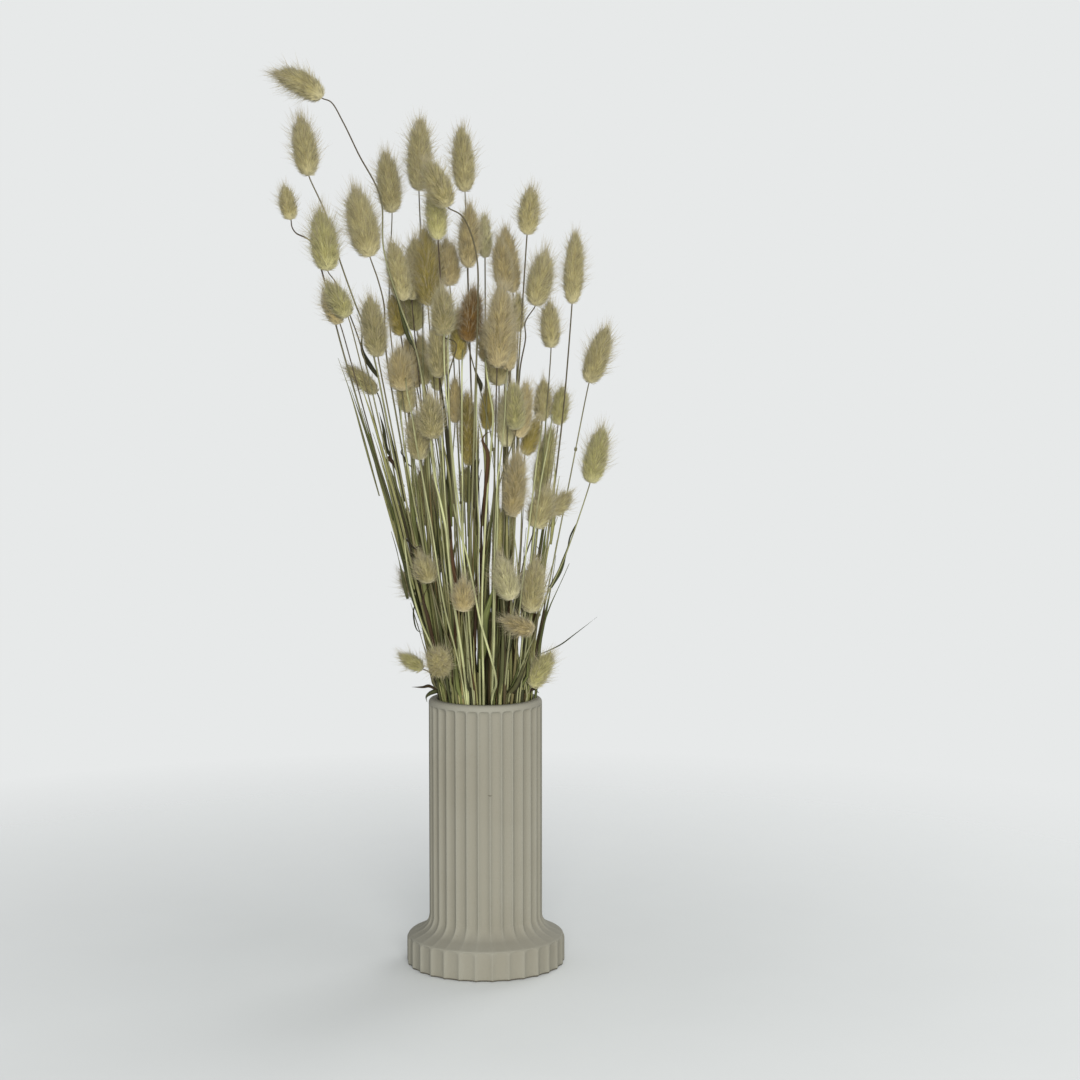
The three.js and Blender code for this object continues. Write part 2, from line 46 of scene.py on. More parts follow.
# Vase
VASE_HEIGHT = 201.5
COLUMN_RADIUS = 42.5
COLUMN_START = 38
INNER_RADIUS = 35.5
INNER_TAPER = 2
FOOT_RADIUS = 59.5
FOOT_SIDE_HEIGHT = 18.5
FOOT_EDGE = 5
FOOT_SLOPE = 25
FOOT_BOTTOM_EDGE = 1.6
FOOT_FILLET = 13
RIM_OUTER_EDGE = 3
RIM_INNER_EDGE = 1.5
FLOOR_THICKNESS = 9
FLUTE_COUNT = 30
FLUTE_COLUMNS = 14
COLUMN_FLUTE_DEPTH = 2.4
COLUMN_FLUTE_TOP = 197.2
COLUMN_ARCH_FROM = 192.6
FOOT_FLUTE_DEPTH = 1.7
FOOT_FLUTE_TOP = 21.5
FLUTE_END = 3.6
FLUTE_FLATNESS = 2.7
FLARE_LOW = 22.6
FLARE_LEAST = 0.3
CHIP_PLACE = (4.2, -42.3, 135)
CHIP_LENGTH = 3.4
CHIP_HEIGHT = 1
CONTACT_SHADOW_HEIGHT = 1.7

# Heads
HEAD_WIDEST = 0.24
TIP_TAPER = 0.85
TIP_BLUNTNESS = 2.4
AWN_REACH = 3.2
CORE_SHARE = 0.72
CORE_START = 0.004
CORE_CLOSES_FROM = 0.8
CORE_END = 0.94
CORE_ROWS = 14
CORE_ROW_CROWDING = 1.15
CORE_SIDES = 16
CORE_REACH = 0.3
BODY_STEP = 0.004
ROUNDED_ENDS = 0.8
TONE_MIDDLE = 0.5
TONE_SPREAD = 0.12
TONE_LIMITS = (0.05, 0.95)
FOOT_SMOOTH = 0.3
LEAST_GROWTH = 0.5
USUAL_RADIUS = 9
LEAST_HAIR_SIZE = 0.7
MOST_HAIR_SIZE = 1.15
MOST_AWN_SIZE = 1.1

# The coat: hairs in tufts. Spreads are how far single tufts and hairs differ, and lifts are in degrees.
HAIRS_PER_AREA = 1.7
HAIRS_PER_TUFT = 8
HAIR_RADIUS = 0.18
HAIR_LENGTH = 7.2
HAIR_LENGTHS = (0.75, 1.2)
HAIR_SHARES = (0.003, 0.93)
HAIR_SHARE_SPREAD = 0.02
HAIR_TURN_SPREAD = 0.16
HAIR_TONE_SPREAD = 0.3
HAIR_LIFT_SPREAD = math.radians(6)
HAIR_SWAY_SPREAD = math.radians(8)
HAIR_LIFT = 24
HAIR_MIDDLE_LIFT = 8
HAIR_TIP_LIFT = 26
HAIR_SHORTER_FROM = 0.7
HAIR_SHORTER_BY = 0.35
HAIR_ROUGHNESS = 0.3
HAIR_ROUNDNESS = 0.55
HAIR_ROOT_DEPTH = 0.25
HAIR_NORMAL_LEAN = 0.25
HAIR_NORMAL_TIP_LEAN = 0.7
TUFT_SHARES = (0.01, 0.92)
TUFT_SHARE_STEPS = 200
TUFT_LEAST_WEIGHT = 0.12
TUFT_TURN = math.pi * (3 - math.sqrt(5))
TUFT_TONE_SPREAD = 0.3
TUFT_LIFT_SPREAD = math.radians(4)
TUFT_SWAY_SPREAD = math.radians(8)
TUFT_GATHER = 0.45

# The awns: a dense short fringe, and long whiskers.
AWN_ROUNDNESS = 0.85
AWN_MIDDLE_RADIUS = 0.8
AWN_TIP_FROM = 0.6
AWN_TIP_DROP = 26
AWN_FOOT_LIFT = 0.35
FRINGE_PER_AREA = 0.5
FRINGE_LENGTH = 9.0
FRINGE_LENGTHS = (0.7, 1.2)
FRINGE_RADIUS = 0.14
FRINGE_SHARES = (0.02, 0.92)
FRINGE_LIFTS = (42, 78)
FRINGE_WAY_SPREAD = 0.1
FRINGE_TONES = (0.2, 1)
FRINGE_WHISKER_TONE = 0.1
WHISKERS_PER_AREA = 0.19
WHISKER_LENGTH = 16.0
WHISKER_LENGTHS = (0.6, 1.15)
WHISKER_RADIUS = 0.11
WHISKER_START = 0.1
WHISKER_END = 0.93
WHISKER_CROWDING = 0.8
WHISKER_LIFTS = (40, 76)
WHISKER_WAY_SPREAD = 0.18
WHISKER_BENDS = (0.05, 0.55)

# Stems
STEM_TOP_RADIUS = 0.55
STEM_STEP = 80
STEM_MIN_STEPS = 3
STEM_MAX_STEPS = 7
RESTING_GAP = 0.3
CLEARANCE = 1.6
NECK_RADIUS = 32.5
NECK_HEIGHT = 204
NECK_SPREAD = 1.35
NECK_JITTER = 7
LOWEST_AIM = 190
BUNDLE_PITCH = 3.6
BUNDLE_STEP = 1.4
BUNDLE_CORE = 1
SET_OFF = 0.25
LANDING = 0.2
SETTLE_ROUNDS = 220
SETTLE_LAST_ROUNDS = 20
SETTLE_PUSH = 0.3
SETTLE_SMOOTH = 0.12
SAMPLES_PER_STEP = 6
ROOM_START = 0.25
ROOM_END = 0.95
STALK_SIDES = 6
STALK_SPANS = 8
STALK_RADIUS = 0.38
STALK_LOW_RADIUS = 0.8
DARK_NECK = 60
PALE_BELOW = 110
PALE_NECKS_UP_TO = 430
DARK_NECKS_FROM = 500
LEAST_PALE_SHARE = 0.2
STALK_UNEVENNESS = (0.85, 1.15)
STALK_PALENESS = (0.1, 0.75)
INTO_HEAD = 2
JOINT_LENGTH = 2.4
JOINT_RADIUS = 0.92
JOINT_SWELLING = np.array([1.0, 1.15, 1.22, 1.15, 1.0])
JOINT_TINT = 1.0
JOINT_PALENESS = 0.3
JOINT_CHANCE = 0.6
JOINTS_FROM = np.array([0, 60])
JOINTS_UP_TO = np.array([60, 190])
JOINT_BELOW_HEAD = 25
STRAY_TAPER = (1.25, 0.9)
STRAY_LOW_SHARE = 0.6
TUCKED_IN = 24
SHEATH_SIDES = 8
SHEATH_RINGS = 16
SHEATH_START = 30
SHEATH_TOP_SHARE = (0.45, 0.75)
SHEATH_HIGHEST = 410
SHEATH_LEAST = 20
SHEATH_JOINT_BELOW = 60
SHEATH_JOINT_ABOVE = 140
SHEATH_JOINT_TO_MOUTH = 15
SHEATH_LOW_WIDTH = 1.25
SHEATH_HIGH_WIDTH = 1.15
SHEATH_UNEVENNESS = (0.8, 1.3)
SHEATH_FLATNESS = (0.45, 1.0)
SHEATH_TAPER = 0.38
SHEATH_MOUTH_FROM = 0.9
SHEATH_MOUTH_TAPER = 0.45
SHEATH_PALENESS = (0, 0.3)

# Leaves
LEAF_THICKNESS = 0.35
LEAF_WIDEST = 0.35
LEAF_ROOT_SHARE = 0.5
LEAF_POINT = 1.6
LEAF_SPANS = 6
LEAF_END = 0.08
LEAF_FOLD = 0.35
BLADE_WINGS = np.array([-1, -0.5, 0, 0.5, 1, 0.5, 0, -0.5])
BLADE_FACES = np.array([0, 1, 1, 1, 0, -1, -1, -1])
BLADE_FOLDS = (0.2, 0.6)
BLADE_TWISTS = (-3, 3)
BLADE_DRIFT_POWER = 1.5
LOOSE_BLADES = 4
LOOSE_RINGS = 11
LOOSE_HEIGHTS = (NECK_HEIGHT - 30, NECK_HEIGHT + 150)
LOOSE_LENGTHS = (45, 130)
LOOSE_WIDTHS = (1.8, 4.0)
LOOSE_ASIDE = 2.2
LOOSE_DRIFT = np.array([2.5, 3, 2])
LOOSE_CURL = 3
LOOSE_CURLS_FROM = 0.6
LOOSE_CURL_GROWTH = 4
LOOSE_BELOW_HEAD = 30
MOUTH_STUBS = 150
STUB_RINGS = 9
STUB_HEIGHTS = (120, 180)
STUB_LENGTHS = (70, 170)
STUB_WIDTHS = (2.2, 4.6)
STUB_ASIDE = 3.5
STUB_DRIFT = np.array([2, 3, 2])
STUB_BELOW_HEAD = 20
STUB_HELD_UP_TO = NECK_HEIGHT + 8

# The bunch was measured as seen from one point in front of it: a place is a pixel across, a pixel down and
# a depth behind the vase's axis in millimetres.
VIEW_POINT = np.array([41.0, -1658.0, 459.0])
VIEW_PITCH = math.radians(4.79)
VIEW_FOCAL = 2230
VIEW_CENTRE = 540
VIEW_SENSOR = 36.0


# One head: its colour, where its foot and its tip are seen, how wide it looks, the depth of its foot, how
# much deeper its tip lies, how far its middle bows upwards, the places its stem passes on the way down,
# some with how much deeper than the foot they lie, and how much lighter than its colour it is painted:
# painted light on heads that lie deep in the bunch's shade, and painted shade, below 0, on some in front.
def head(hue, foot, tip, width, depth, lean=0, bow=0, via=(), light=0.0):
    return {"hue": hue, "foot": foot, "tip": tip, "width": width, "depth": depth,
            "lean": lean, "bow": bow, "via": via, "light": light}


# Each inner list is one body: one head, or heads that are pressed against each other.
HEADS = [
    [head("sage", (322, 98), (276, 74), 24, -8, bow=6,
          via=[(331, 102), (343, 122), (357, 155), (374, 200), (388, 250), (402, 301), (415, 350),
               (424, 400)])],
    [head("sage", (309, 176), (300, 117), 24, 20, via=[(325, 212), (339, 258), (355, 303), (370, 342)])],
    [head("sage", (291, 220), (284, 186), 17, 12, via=[(292, 227), (296, 233), (304, 237), (311, 242)])],
    [head("green", (328, 271), (320, 211), 27, -10, via=[(336, 283), (351, 318), (362, 350)])],
    [head("sage", (370, 257), (354, 189), 30, -5, via=[(378, 280), (384, 305), (389, 345)])],
    [head("sage", (392, 213), (385, 152), 23, 30)],
    [head("sage", (419, 191), (420, 119), 24, 18)],
    [head("sage", (448, 207), (427, 162), 25, -45, lean=-8, light=-0.12,
          via=[(461, 215), (470, 231), (477, 259), (478, 300)])],
    [head("green", (438, 240), (434, 182), 21, -8)],
    [head("sage", (465, 192), (461, 127), 22, 42)],
    [head("tan", (468, 268), (470, 204), 21, 2, light=-0.3)],
    [head("pale", (485, 258), (484, 214), 15, 62)],
    [head("sage", (527, 235), (531, 188), 21, -10)],
    [head("tan", (513, 293), (504, 226), 20, 35), head("tan", (506, 291), (499, 239), 20, 22)],
    [head("sage", (535, 306), (546, 252), 25, 2, via=[(527, 319), (522, 336), (520, 370)]),
     head("sage", (551, 348), (549, 302), 20, 2, light=-0.15)],
    [head("sage", (572, 304), (576, 231), 20, 10)],
    [head("sage", (589, 383), (607, 328), 23, 15)],
    [head("green", (590, 483), (603, 428), 23, -10)],
    [head("sage", (404, 301), (392, 242), 22, -2)],
    [head("sage", (412, 300), (415, 238), 20, 16), head("olive", (428, 306), (425, 229), 26, 12)],
    [head("tan", (435, 304), (438, 243), 16, 38, light=0.45), head("tan", (450, 286), (446, 241), 23, 30)],
    [head("green", (417, 331), (403, 272), 22, 44)],
    [head("olive", (401, 336), (392, 295), 18, 16)],
    [head("sage", (444, 336), (442, 288), 24, -45, light=-0.3, via=[(445, 345, -5), (448, 380, -8)]),
     head("sage", (439, 378), (437, 322), 21, -38, light=-0.4)],
    [head("brown", (468, 342), (474, 289), 24, -24),
     head("olive", (459, 360), (458, 310), 18, -12, light=0.15)],
    [head("tan", (497, 368), (502, 287), 26, -45), head("tan", (509, 371), (500, 280), 22, -32)],
    [head("sage", (499, 386), (495, 332), 24, 5), head("tan", (487, 363), (486, 322), 18, 15, light=0.35)],
    [head("sage", (518, 332), (518, 293), 13, 5)],
    [head("green", (348, 317), (328, 283), 22, -40, light=-0.2),
     head("tan", (340, 324), (324, 292), 18, -28)],
    [head("sage", (378, 357), (369, 298), 24, -25, light=-0.5)],
    [head("sage", (377, 393), (346, 366), 16, 30)],
    [head("tan", (402, 391), (399, 350), 25, -22), head("sage", (408, 413), (403, 368), 19, -10)],
    [head("tan", (417, 388), (406, 338), 16, 25), head("sage", (425, 385), (420, 335), 18, 33, light=0.35),
     head("green", (437, 391), (436, 336), 15, 27)],
    [head("sage", (432, 439), (430, 397), 25, -52, lean=-6, light=-0.5),
     head("sage", (420, 460), (415, 415), 22, -40, light=-0.12)],
    [head("tan", (455, 423), (455, 379), 16, 5, light=0.25)],
    [head("olive", (469, 466), (467, 391), 18, -22, light=-0.25)],
    [head("olive", (487, 430), (487, 388), 15, 25, light=0.35)],
    [head("green", (516, 430), (513, 383), 21, -50, light=-0.35),
     head("tan", (519, 438), (527, 383), 20, -38)],
    [head("sage", (542, 421), (544, 380), 18, 33), head("green", (558, 425), (562, 388), 18, 35, light=0.2)],
    [head("pale", (507, 447), (504, 396), 19, -20, light=0.45)],
    [head("olive", (525, 455), (538, 418), 18, -8)],
    [head("green", (538, 494), (552, 426), 18, 14)],
    [head("tan", (512, 517), (518, 452), 23, -50, light=-0.35)],
    [head("sage", (535, 528), (548, 489), 25, -26), head("sage", (552, 514), (570, 493), 18, -18)],
    [head("sage", (430, 527), (424, 466), 24, 30, light=0.35)],
    [head("green", (468, 503), (466, 468), 15, 5)],
    [head("sage", (419, 541), (399, 506), 16, 55, light=0.45)],
    [head("sage", (430, 583), (421, 556), 22, -42, light=-0.2)],
    [head("sage", (424, 598), (402, 574), 20, 52, light=0.45)],
    [head("tan", (463, 612), (463, 580), 21, -58, light=-0.2)],
    [head("pale", (512, 600), (499, 558), 24, -46)],
    [head("green", (502, 555), (498, 506), 16, -14, light=0.2)],
    [head("sage", (530, 613), (536, 560), 24, -28, light=-0.15)],
    [head("tan", (534, 631), (503, 620), 19, -52, light=-0.25)],
    [head("sage", (441, 671), (436, 653), 23, -28, lean=-28)],
    [head("sage", (436, 645), (432, 612), 19, 20, light=0.45), head("olive", (441, 612), (434, 584), 18, 16)],
    [head("green", (423, 669), (400, 655), 15, -5, via=[(429, 672), (433, 679), (435, 686)])],
    [head("green", (531, 687), (551, 653), 20, -8)],
]


# One leaf: the stem it grows from (counted through all the heads, from 0), the height at which it leaves
# it, its width, how far it twists in degrees, and the places it passes out to its tip, each with its depth
# behind the place where it leaves. The last word is its dried colour, from 0, green, to 1, dark brown.
def leaf(stem, height, width, twist, dryness, places):
    return {"stem": stem, "height": height, "width": width, "twist": twist, "dryness": dryness,
            "places": places}


LEAVES = [
    leaf(19, 284, 5, 150, 0.35, [(561, 570, -2), (567, 552, -3), (571, 536, -4), (579, 519, -4)]),
    leaf(1, 441, 4.5, 120, 0.55, [(371, 366, -2), (363, 350, -3), (362, 331, -3), (357, 314, -4)]),
    leaf(0, 461, 3.5, 60, 0.4, [(409, 338, -1), (403, 318, -2), (398, 300, -2), (393, 288, -2)]),
    leaf(39, 381, 4, 90, 0.9, [(389, 458, -2), (393, 464, -3), (398, 475, -4), (405, 487, -4)]),
    leaf(39, 381, 3.5, 40, 0.5, [(386, 448, -1), (384, 430, -1), (379, 412, -1)]),
    leaf(37, 273, 1.2, 0, 0.5, [(414, 608, -1), (415, 625, -2), (418, 631, -2), (422, 632, -2)]),
    leaf(73, 206, 2.5, 30, 0.8, [(429, 686, -4), (423, 687, -6), (412, 687, -8)]),
    leaf(4, 206, 3.6, 60, 0.4, [(437, 691, -4), (430, 693, -5), (426, 697, -6), (427, 702, -7)]),
    leaf(19, 206, 3, 60, 0.8, [(532, 690, 2), (535, 690, 3), (539, 693, 3)]),
    leaf(18, 231, 1, 0, 0.5, [(560, 645, 6), (575, 634, 6), (597, 617, 6)]),
    leaf(52, 303, 1.5, 0, 0.5, [(532, 559, 0), (537, 556, 0), (539, 550, 0), (534, 543, 0)]),
    leaf(28, 236, 4, 120, 1.0, [(456, 585, -26), (452, 548, -34), (452, 535, -35), (450, 517, -34)]),
    leaf(40, 375, 1.3, 0, 0.7, [(406, 462, -1), (404, 457, -2), (401, 452, -2), (403, 447, -2)]),
    leaf(29, 310, 3.5, 90, 1.0, [(485, 500, -28), (488, 452, -44), (483, 440, -45), (486, 434, -45),
                                 (492, 431, -45)]),
    leaf(29, 431, 3, 40, 0.6, [(481, 385, -2), (478, 377, -2), (475, 368, -2)]),
    leaf(37, 216, 3.5, 90, 0.85, [(433, 640, -18), (428, 616, -24), (424, 600, -25), (425, 593, -26),
                                  (430, 584, -26)]),
    leaf(29, 222, 7, 30, 0.1, [(483, 650, -26), (485, 620, -28), (490, 602, -28), (494, 585, -28)]),
    leaf(52, 262, 3.4, 50, 0.15, [(538, 590, -14), (543, 559, -20), (545, 538, -22), (548, 518, -24)]),
    leaf(37, 330, 1.5, 0, 0.7, [(416, 549, -12), (417, 547, -13), (423, 547, -13)]),
    leaf(37, 250, 5, 80, 0.3, [(414, 598, -4), (408, 572, -6), (402, 548, -8), (397, 522, -9),
                               (391, 498, -9)]),
    leaf(39, 320, 4.5, 60, 0.4, [(404, 538, -3), (398, 512, -4), (391, 486, -5), (385, 462, -5)]),
]


# One more stalk, seen in front of the heads: its depth behind the vase's axis, its width, how pale it is,
# and the places it passes, from where it comes out between the heads down to the bundle.
def stray(depth, width, pale, places):
    return {"depth": depth, "width": width, "pale": pale, "places": places}


STRAYS = [
    stray(-57, 1.5, 0.8, [(407.5, 395), (411, 410), (416, 442), (422, 474), (427, 502), (432, 530),
                          (443, 600)]),
    stray(-57, 1.5, 0.9, [(444, 342), (445, 380), (447.5, 406), (450, 426), (455, 478), (461, 522),
                          (464, 560)]),
    stray(-58, 1.4, 0.7, [(448, 345), (448.6, 390), (450, 430), (454, 480), (457, 510)]),
    stray(-38, 1.5, 0.9, [(462, 365), (462, 440), (462.5, 500), (463, 530)]),
    stray(-36, 1.4, 0.8, [(476.5, 395), (476.5, 450), (477.5, 500), (479, 530), (478, 570), (479, 600)]),
    stray(-54, 2.0, 0.9, [(487, 376), (489.5, 392), (493, 415), (491.5, 442), (489, 470), (485, 530),
                          (482, 600)]),
    stray(-46, 1.5, 0.9, [(442, 437), (443.5, 470), (446, 510)]),
    stray(-52, 2.4, 1.0, [(431, 442), (435, 480), (440, 500), (446, 530), (449, 560), (452, 590)]),
    stray(-36, 1.4, 0.7, [(401, 415), (405, 450), (412, 490)]),
    stray(-50, 2.0, 1.0, [(455, 512), (461, 535), (467, 556), (474, 590), (480, 620), (496, 680)]),
    stray(-40, 1.8, 0.9, [(498, 490), (497, 540), (495, 580), (494, 640)]),
    stray(-34, 1.5, 0.8, [(550, 432), (547, 450), (543, 470), (539, 495)]),
    stray(-44, 1.4, 0.8, [(539.5, 444), (537, 460), (535, 478), (533, 493)]),
    stray(-30, 1.8, 0.8, [(405, 547), (411, 586), (422, 624), (429, 640)]),
    stray(-60, 1.4, 0.7, [(506, 386), (504.5, 420), (501, 455), (497.5, 480)]),
]


# Places and directions

def unit(vectors):
    return vectors / np.linalg.norm(vectors, axis=-1, keepdims=True)


def clamp(value, low, high):
    return min(high, max(low, value))


def photo_point(place, depth):
    forward = np.array([0, math.cos(VIEW_PITCH), -math.sin(VIEW_PITCH)])
    upward = np.array([0, math.sin(VIEW_PITCH), math.cos(VIEW_PITCH)])
    ray = forward + upward * (VIEW_CENTRE - place[1]) / VIEW_FOCAL
    ray[0] += (place[0] - VIEW_CENTRE) / VIEW_FOCAL
    return VIEW_POINT + ray * (depth - VIEW_POINT[1]) / ray[1]


def millimetres_per_pixel(depth):
    return (depth - VIEW_POINT[1]) / VIEW_FOCAL


# A draw between 0 and 1 that depends only on its number.
def draw(number):
    value = math.sin(number * 12.9898 + 4.1414) * 43758.5453
    return value - math.floor(value)


# Directions across a path: sideways, and to the front.
def across(along):
    side = unit(np.cross(np.array([0.0, 1.0, 0.0]), along))
    return side, np.cross(along, side)


def distance_along(path):
    return np.concatenate([[0], np.cumsum(np.linalg.norm(np.diff(path, axis=0), axis=1))])


# A smooth curve through the places, with the same number of points in each span.
def smooth_through(places, per_span):
    places = np.asarray(places, float)
    padded = np.vstack([2 * places[0] - places[1], places, 2 * places[-1] - places[-2]])
    share = np.linspace(0, 1, per_span, endpoint=False)[:, None]
    points = []
    for before, start, end, after in zip(padded, padded[1:], padded[2:], padded[3:]):
        reach_in, reach, reach_out = (
            math.sqrt(np.linalg.norm(b - a)) for a, b in ((before, start), (start, end), (end, after))
        )
        leave = (start - before) / reach_in - (end - before) / (reach_in + reach) + (end - start) / reach
        arrive = (end - start) / reach - (after - start) / (reach + reach_out) + (after - end) / reach_out
        leave, arrive = leave * reach, arrive * reach
        bend = 2 * start - 2 * end + leave + arrive
        ease = -3 * start + 3 * end - 2 * leave - arrive
        points.append(start + leave * share + ease * share**2 + bend * share**3)
    points.append(places[-1:])
    return np.vstack(points)


# Heads: where they are

def head_axis(seed):
    foot = photo_point(seed["foot"], seed["depth"])
    tip = photo_point(seed["tip"], seed["depth"] + seed["lean"])
    middle = (foot + tip) / 2 + np.array([0, 0, seed["bow"]])
    return foot, middle, tip


def axis_point(axis, share):
    share = np.asarray(share, float)[..., None]
    return axis[0] * (1 - share)**2 + 2 * axis[1] * share * (1 - share) + axis[2] * share**2


def axis_slope(axis, share):
    share = np.asarray(share, float)[..., None]
    return 2 * (axis[1] - axis[0]) * (1 - share) + 2 * (axis[2] - axis[1]) * share


def head_radius(seed):
    return seed["width"] / 2 * millimetres_per_pixel(seed["depth"])


# Share of the full radius along the head: a round foot, a long full middle, then a blunt taper.
def head_fullness(share):
    foot = np.sqrt(np.clip(1 - ((HEAD_WIDEST - share) / HEAD_WIDEST)**2, 0, 1))
    rest = np.clip((share - HEAD_WIDEST) / (1 - HEAD_WIDEST), 0, 1)
    return np.where(share < HEAD_WIDEST, foot, 1 - TIP_TAPER * rest**TIP_BLUNTNESS)


# Stems: where they are

# Where the stem passes the vase's neck: towards its head, within the bundle.
def neck_place(seed, number):
    foot = photo_point(seed["foot"], seed["depth"])
    rise = max(foot[2] - FLOOR_THICKNESS, LOWEST_AIM)
    share = NECK_SPREAD * (NECK_HEIGHT - FLOOR_THICKNESS) / rise
    jitter = np.array([draw(2 * number) - 0.5, draw(2 * number + 1) - 0.5])
    place = foot[:2] * share + NECK_JITTER * jitter
    return place * min(1, NECK_RADIUS / np.linalg.norm(place))


def spiral_radius(angle):
    return max(BUNDLE_CORE, BUNDLE_PITCH * angle / (2 * math.pi))


# The stems' lower ends stand on the vase's floor along a spiral, each touching the next, and in the same
# order as they pass the neck.
def floor_places(necks):
    order = sorted(range(len(necks)), key=lambda number: np.linalg.norm(necks[number]))
    places = {}
    angle = 0.0
    start = 0
    while start < len(order):
        turn = []
        following = angle
        while following < angle + 2 * math.pi and start + len(turn) < len(order):
            turn.append(following)
            following += BUNDLE_STEP / spiral_radius(following)
        members = sorted(
            order[start:start + len(turn)],
            key=lambda number: (math.atan2(necks[number][1], necks[number][0]) - angle) % (2 * math.pi),
        )
        for place, number in zip(turn, members):
            radius = spiral_radius(place)
            places[number] = np.array([radius * math.cos(place), radius * math.sin(place)])
        start += len(turn)
        angle = following
    return places


def stem_route(seed, neck, floor):
    axis = head_axis(seed)
    arrival = unit(axis[1] - axis[0])
    low = np.array([*floor, FLOOR_THICKNESS + RESTING_GAP])
    mouth = np.array([*neck, NECK_HEIGHT])
    places = [photo_point(place, seed["depth"] + sum(place[2:])) for place in reversed(seed["via"])]
    goal = places[0] if places else axis[0]
    length = np.linalg.norm(goal - mouth)
    steps = clamp(int(length / STEM_STEP + 0.5), STEM_MIN_STEPS, STEM_MAX_STEPS)
    landing = unit(goal - mouth) if places else arrival
    leave = mouth + unit(mouth - low) * length * SET_OFF
    arrive = goal - landing * length * LANDING
    share = np.linspace(0, 1, steps + 1)[:, None]
    middle = (mouth * (1 - share)**3 + 3 * leave * share * (1 - share)**2
              + 3 * arrive * share**2 * (1 - share) + goal * share**3)
    route = [low, *middle, *places[1:]]
    if places:
        route.append(axis[0])
    last = unit(route[-1] - route[-2])
    tilt = math.sqrt(max(0, 1 - float(last @ arrival)**2))
    route[-1] = route[-1] - arrival * (RESTING_GAP + STEM_TOP_RADIUS * tilt)
    return np.array(route)


# Bends a stem clear of the other heads: each sample that lies in a head's room pushes the two points it
# lies between, and the points that weren't measured are smoothed. The floor, neck and head ends stay.
def settle(route, measured, lows, highs, radii):
    shares = (np.arange(SAMPLES_PER_STEP) / SAMPLES_PER_STEP)[None, :, None]
    spans = highs - lows
    for turn in range(SETTLE_ROUNDS):
        samples = route[1:-1, None] * (1 - shares) + route[2:, None] * shares
        offsets = samples[:, :, None] - lows
        nearest = np.clip((offsets * spans).sum(-1) / (spans**2).sum(-1), 0, 1)
        away = offsets - nearest[..., None] * spans
        distance = np.linalg.norm(away, axis=-1)
        short = np.clip(radii - distance, 0, None)
        push = (away * (short * SETTLE_PUSH / distance)[..., None]).sum(2)
        shifts = np.zeros_like(route)
        shifts[1:-1] += (push * (1 - shares)).sum(1)
        shifts[2:] += (push * shares).sum(1)
        smoothing = SETTLE_SMOOTH if turn < SETTLE_ROUNDS - SETTLE_LAST_ROUNDS else 0
        smooth = np.full((len(route) - 3, 1), smoothing)
        smooth[len(smooth) - measured:] = 0
        middle = (route[1:-2] + route[3:]) / 2
        route = route.copy()
        route[2:-1] += (middle - route[2:-1]) * smooth + shifts[2:-1]
    return route


def lay_stems(seeds):
    necks = [neck_place(seed, number) for number, seed in enumerate(seeds)]
    floors = floor_places(necks)
    lows = np.array([axis_point(head_axis(seed), ROOM_START) for seed in seeds])
    highs = np.array([axis_point(head_axis(seed), ROOM_END) for seed in seeds])
    radii = np.array([head_radius(seed) + AWN_REACH + CLEARANCE for seed in seeds])
    routes = []
    for number, seed in enumerate(seeds):
        others = np.arange(len(seeds)) != number
        route = stem_route(seed, necks[number], floors[number])
        routes.append(settle(route, len(seed["via"]), lows[others], highs[others], radii[others]))
    return routes


# Meshes

# Gathers points, triangles and values at the points, and makes one piece of them.
class Gathered:
    def __init__(self, *values):
        self.points = []
        self.triangles = []
        self.normals = []
        self.values = {name: [] for name in values}
        self.count = 0

    def add(self, points, triangles, normals=None, **values):
        self.points.append(points)
        self.triangles.append(triangles + self.count)
        self.count += len(points)
        if normals is not None:
            self.normals.append(normals)
        for name, given in values.items():
            self.values[name].append(np.broadcast_to(given, len(points)))

    def make(self, name, material):
        points = np.vstack(self.points) * METRES
        triangles = np.vstack(self.triangles)
        mesh = bpy.data.meshes.new(name)
        mesh.vertices.add(len(points))
        mesh.vertices.foreach_set("co", points.astype(np.float32).ravel())
        mesh.loops.add(triangles.size)
        mesh.loops.foreach_set("vertex_index", triangles.astype(np.int32).ravel())
        mesh.polygons.add(len(triangles))
        mesh.polygons.foreach_set("loop_start", np.arange(0, triangles.size, 3, dtype=np.int32))
        mesh.polygons.foreach_set("use_smooth", np.ones(len(triangles), bool))
        for value, given in self.values.items():
            kept = mesh.attributes.new(value, "FLOAT", "POINT")
            kept.data.foreach_set("value", np.concatenate(given).astype(np.float32))
        mesh.materials.append(material)
        mesh.update(calc_edges=True)
        if self.normals:
            mesh.normals_split_custom_set_from_vertices(np.vstack(self.normals).tolist())
        piece = bpy.data.objects.new(name, mesh)
        bpy.context.scene.collection.objects.link(piece)
        return piece


# Triangles between rings of points, one ring after another, closed round each ring.
def ring_triangles(rings, sides):
    ring = np.arange(rings - 1)[:, None] * sides
    side = np.arange(sides)[None, :]
    a = ring + side
    b = ring + (side + 1) % sides
    c, d = b + sides, a + sides
    return np.stack([a, b, c, a, c, d], -1).reshape(-1, 3)


# Closes the first and the last ring with a fan round a middle point each.
def cap_triangles(rings, sides):
    side = np.arange(sides)
    after = (side + 1) % sides
    last = (rings - 1) * sides
    low = np.full(sides, rings * sides)
    high = low + 1
    return np.vstack([
        np.stack([low, after, side], -1),
        np.stack([high, last + side, last + after], -1),
    ])


def closed_triangles(rings, sides):
    return np.vstack([ring_triangles(rings, sides), cap_triangles(rings, sides)])


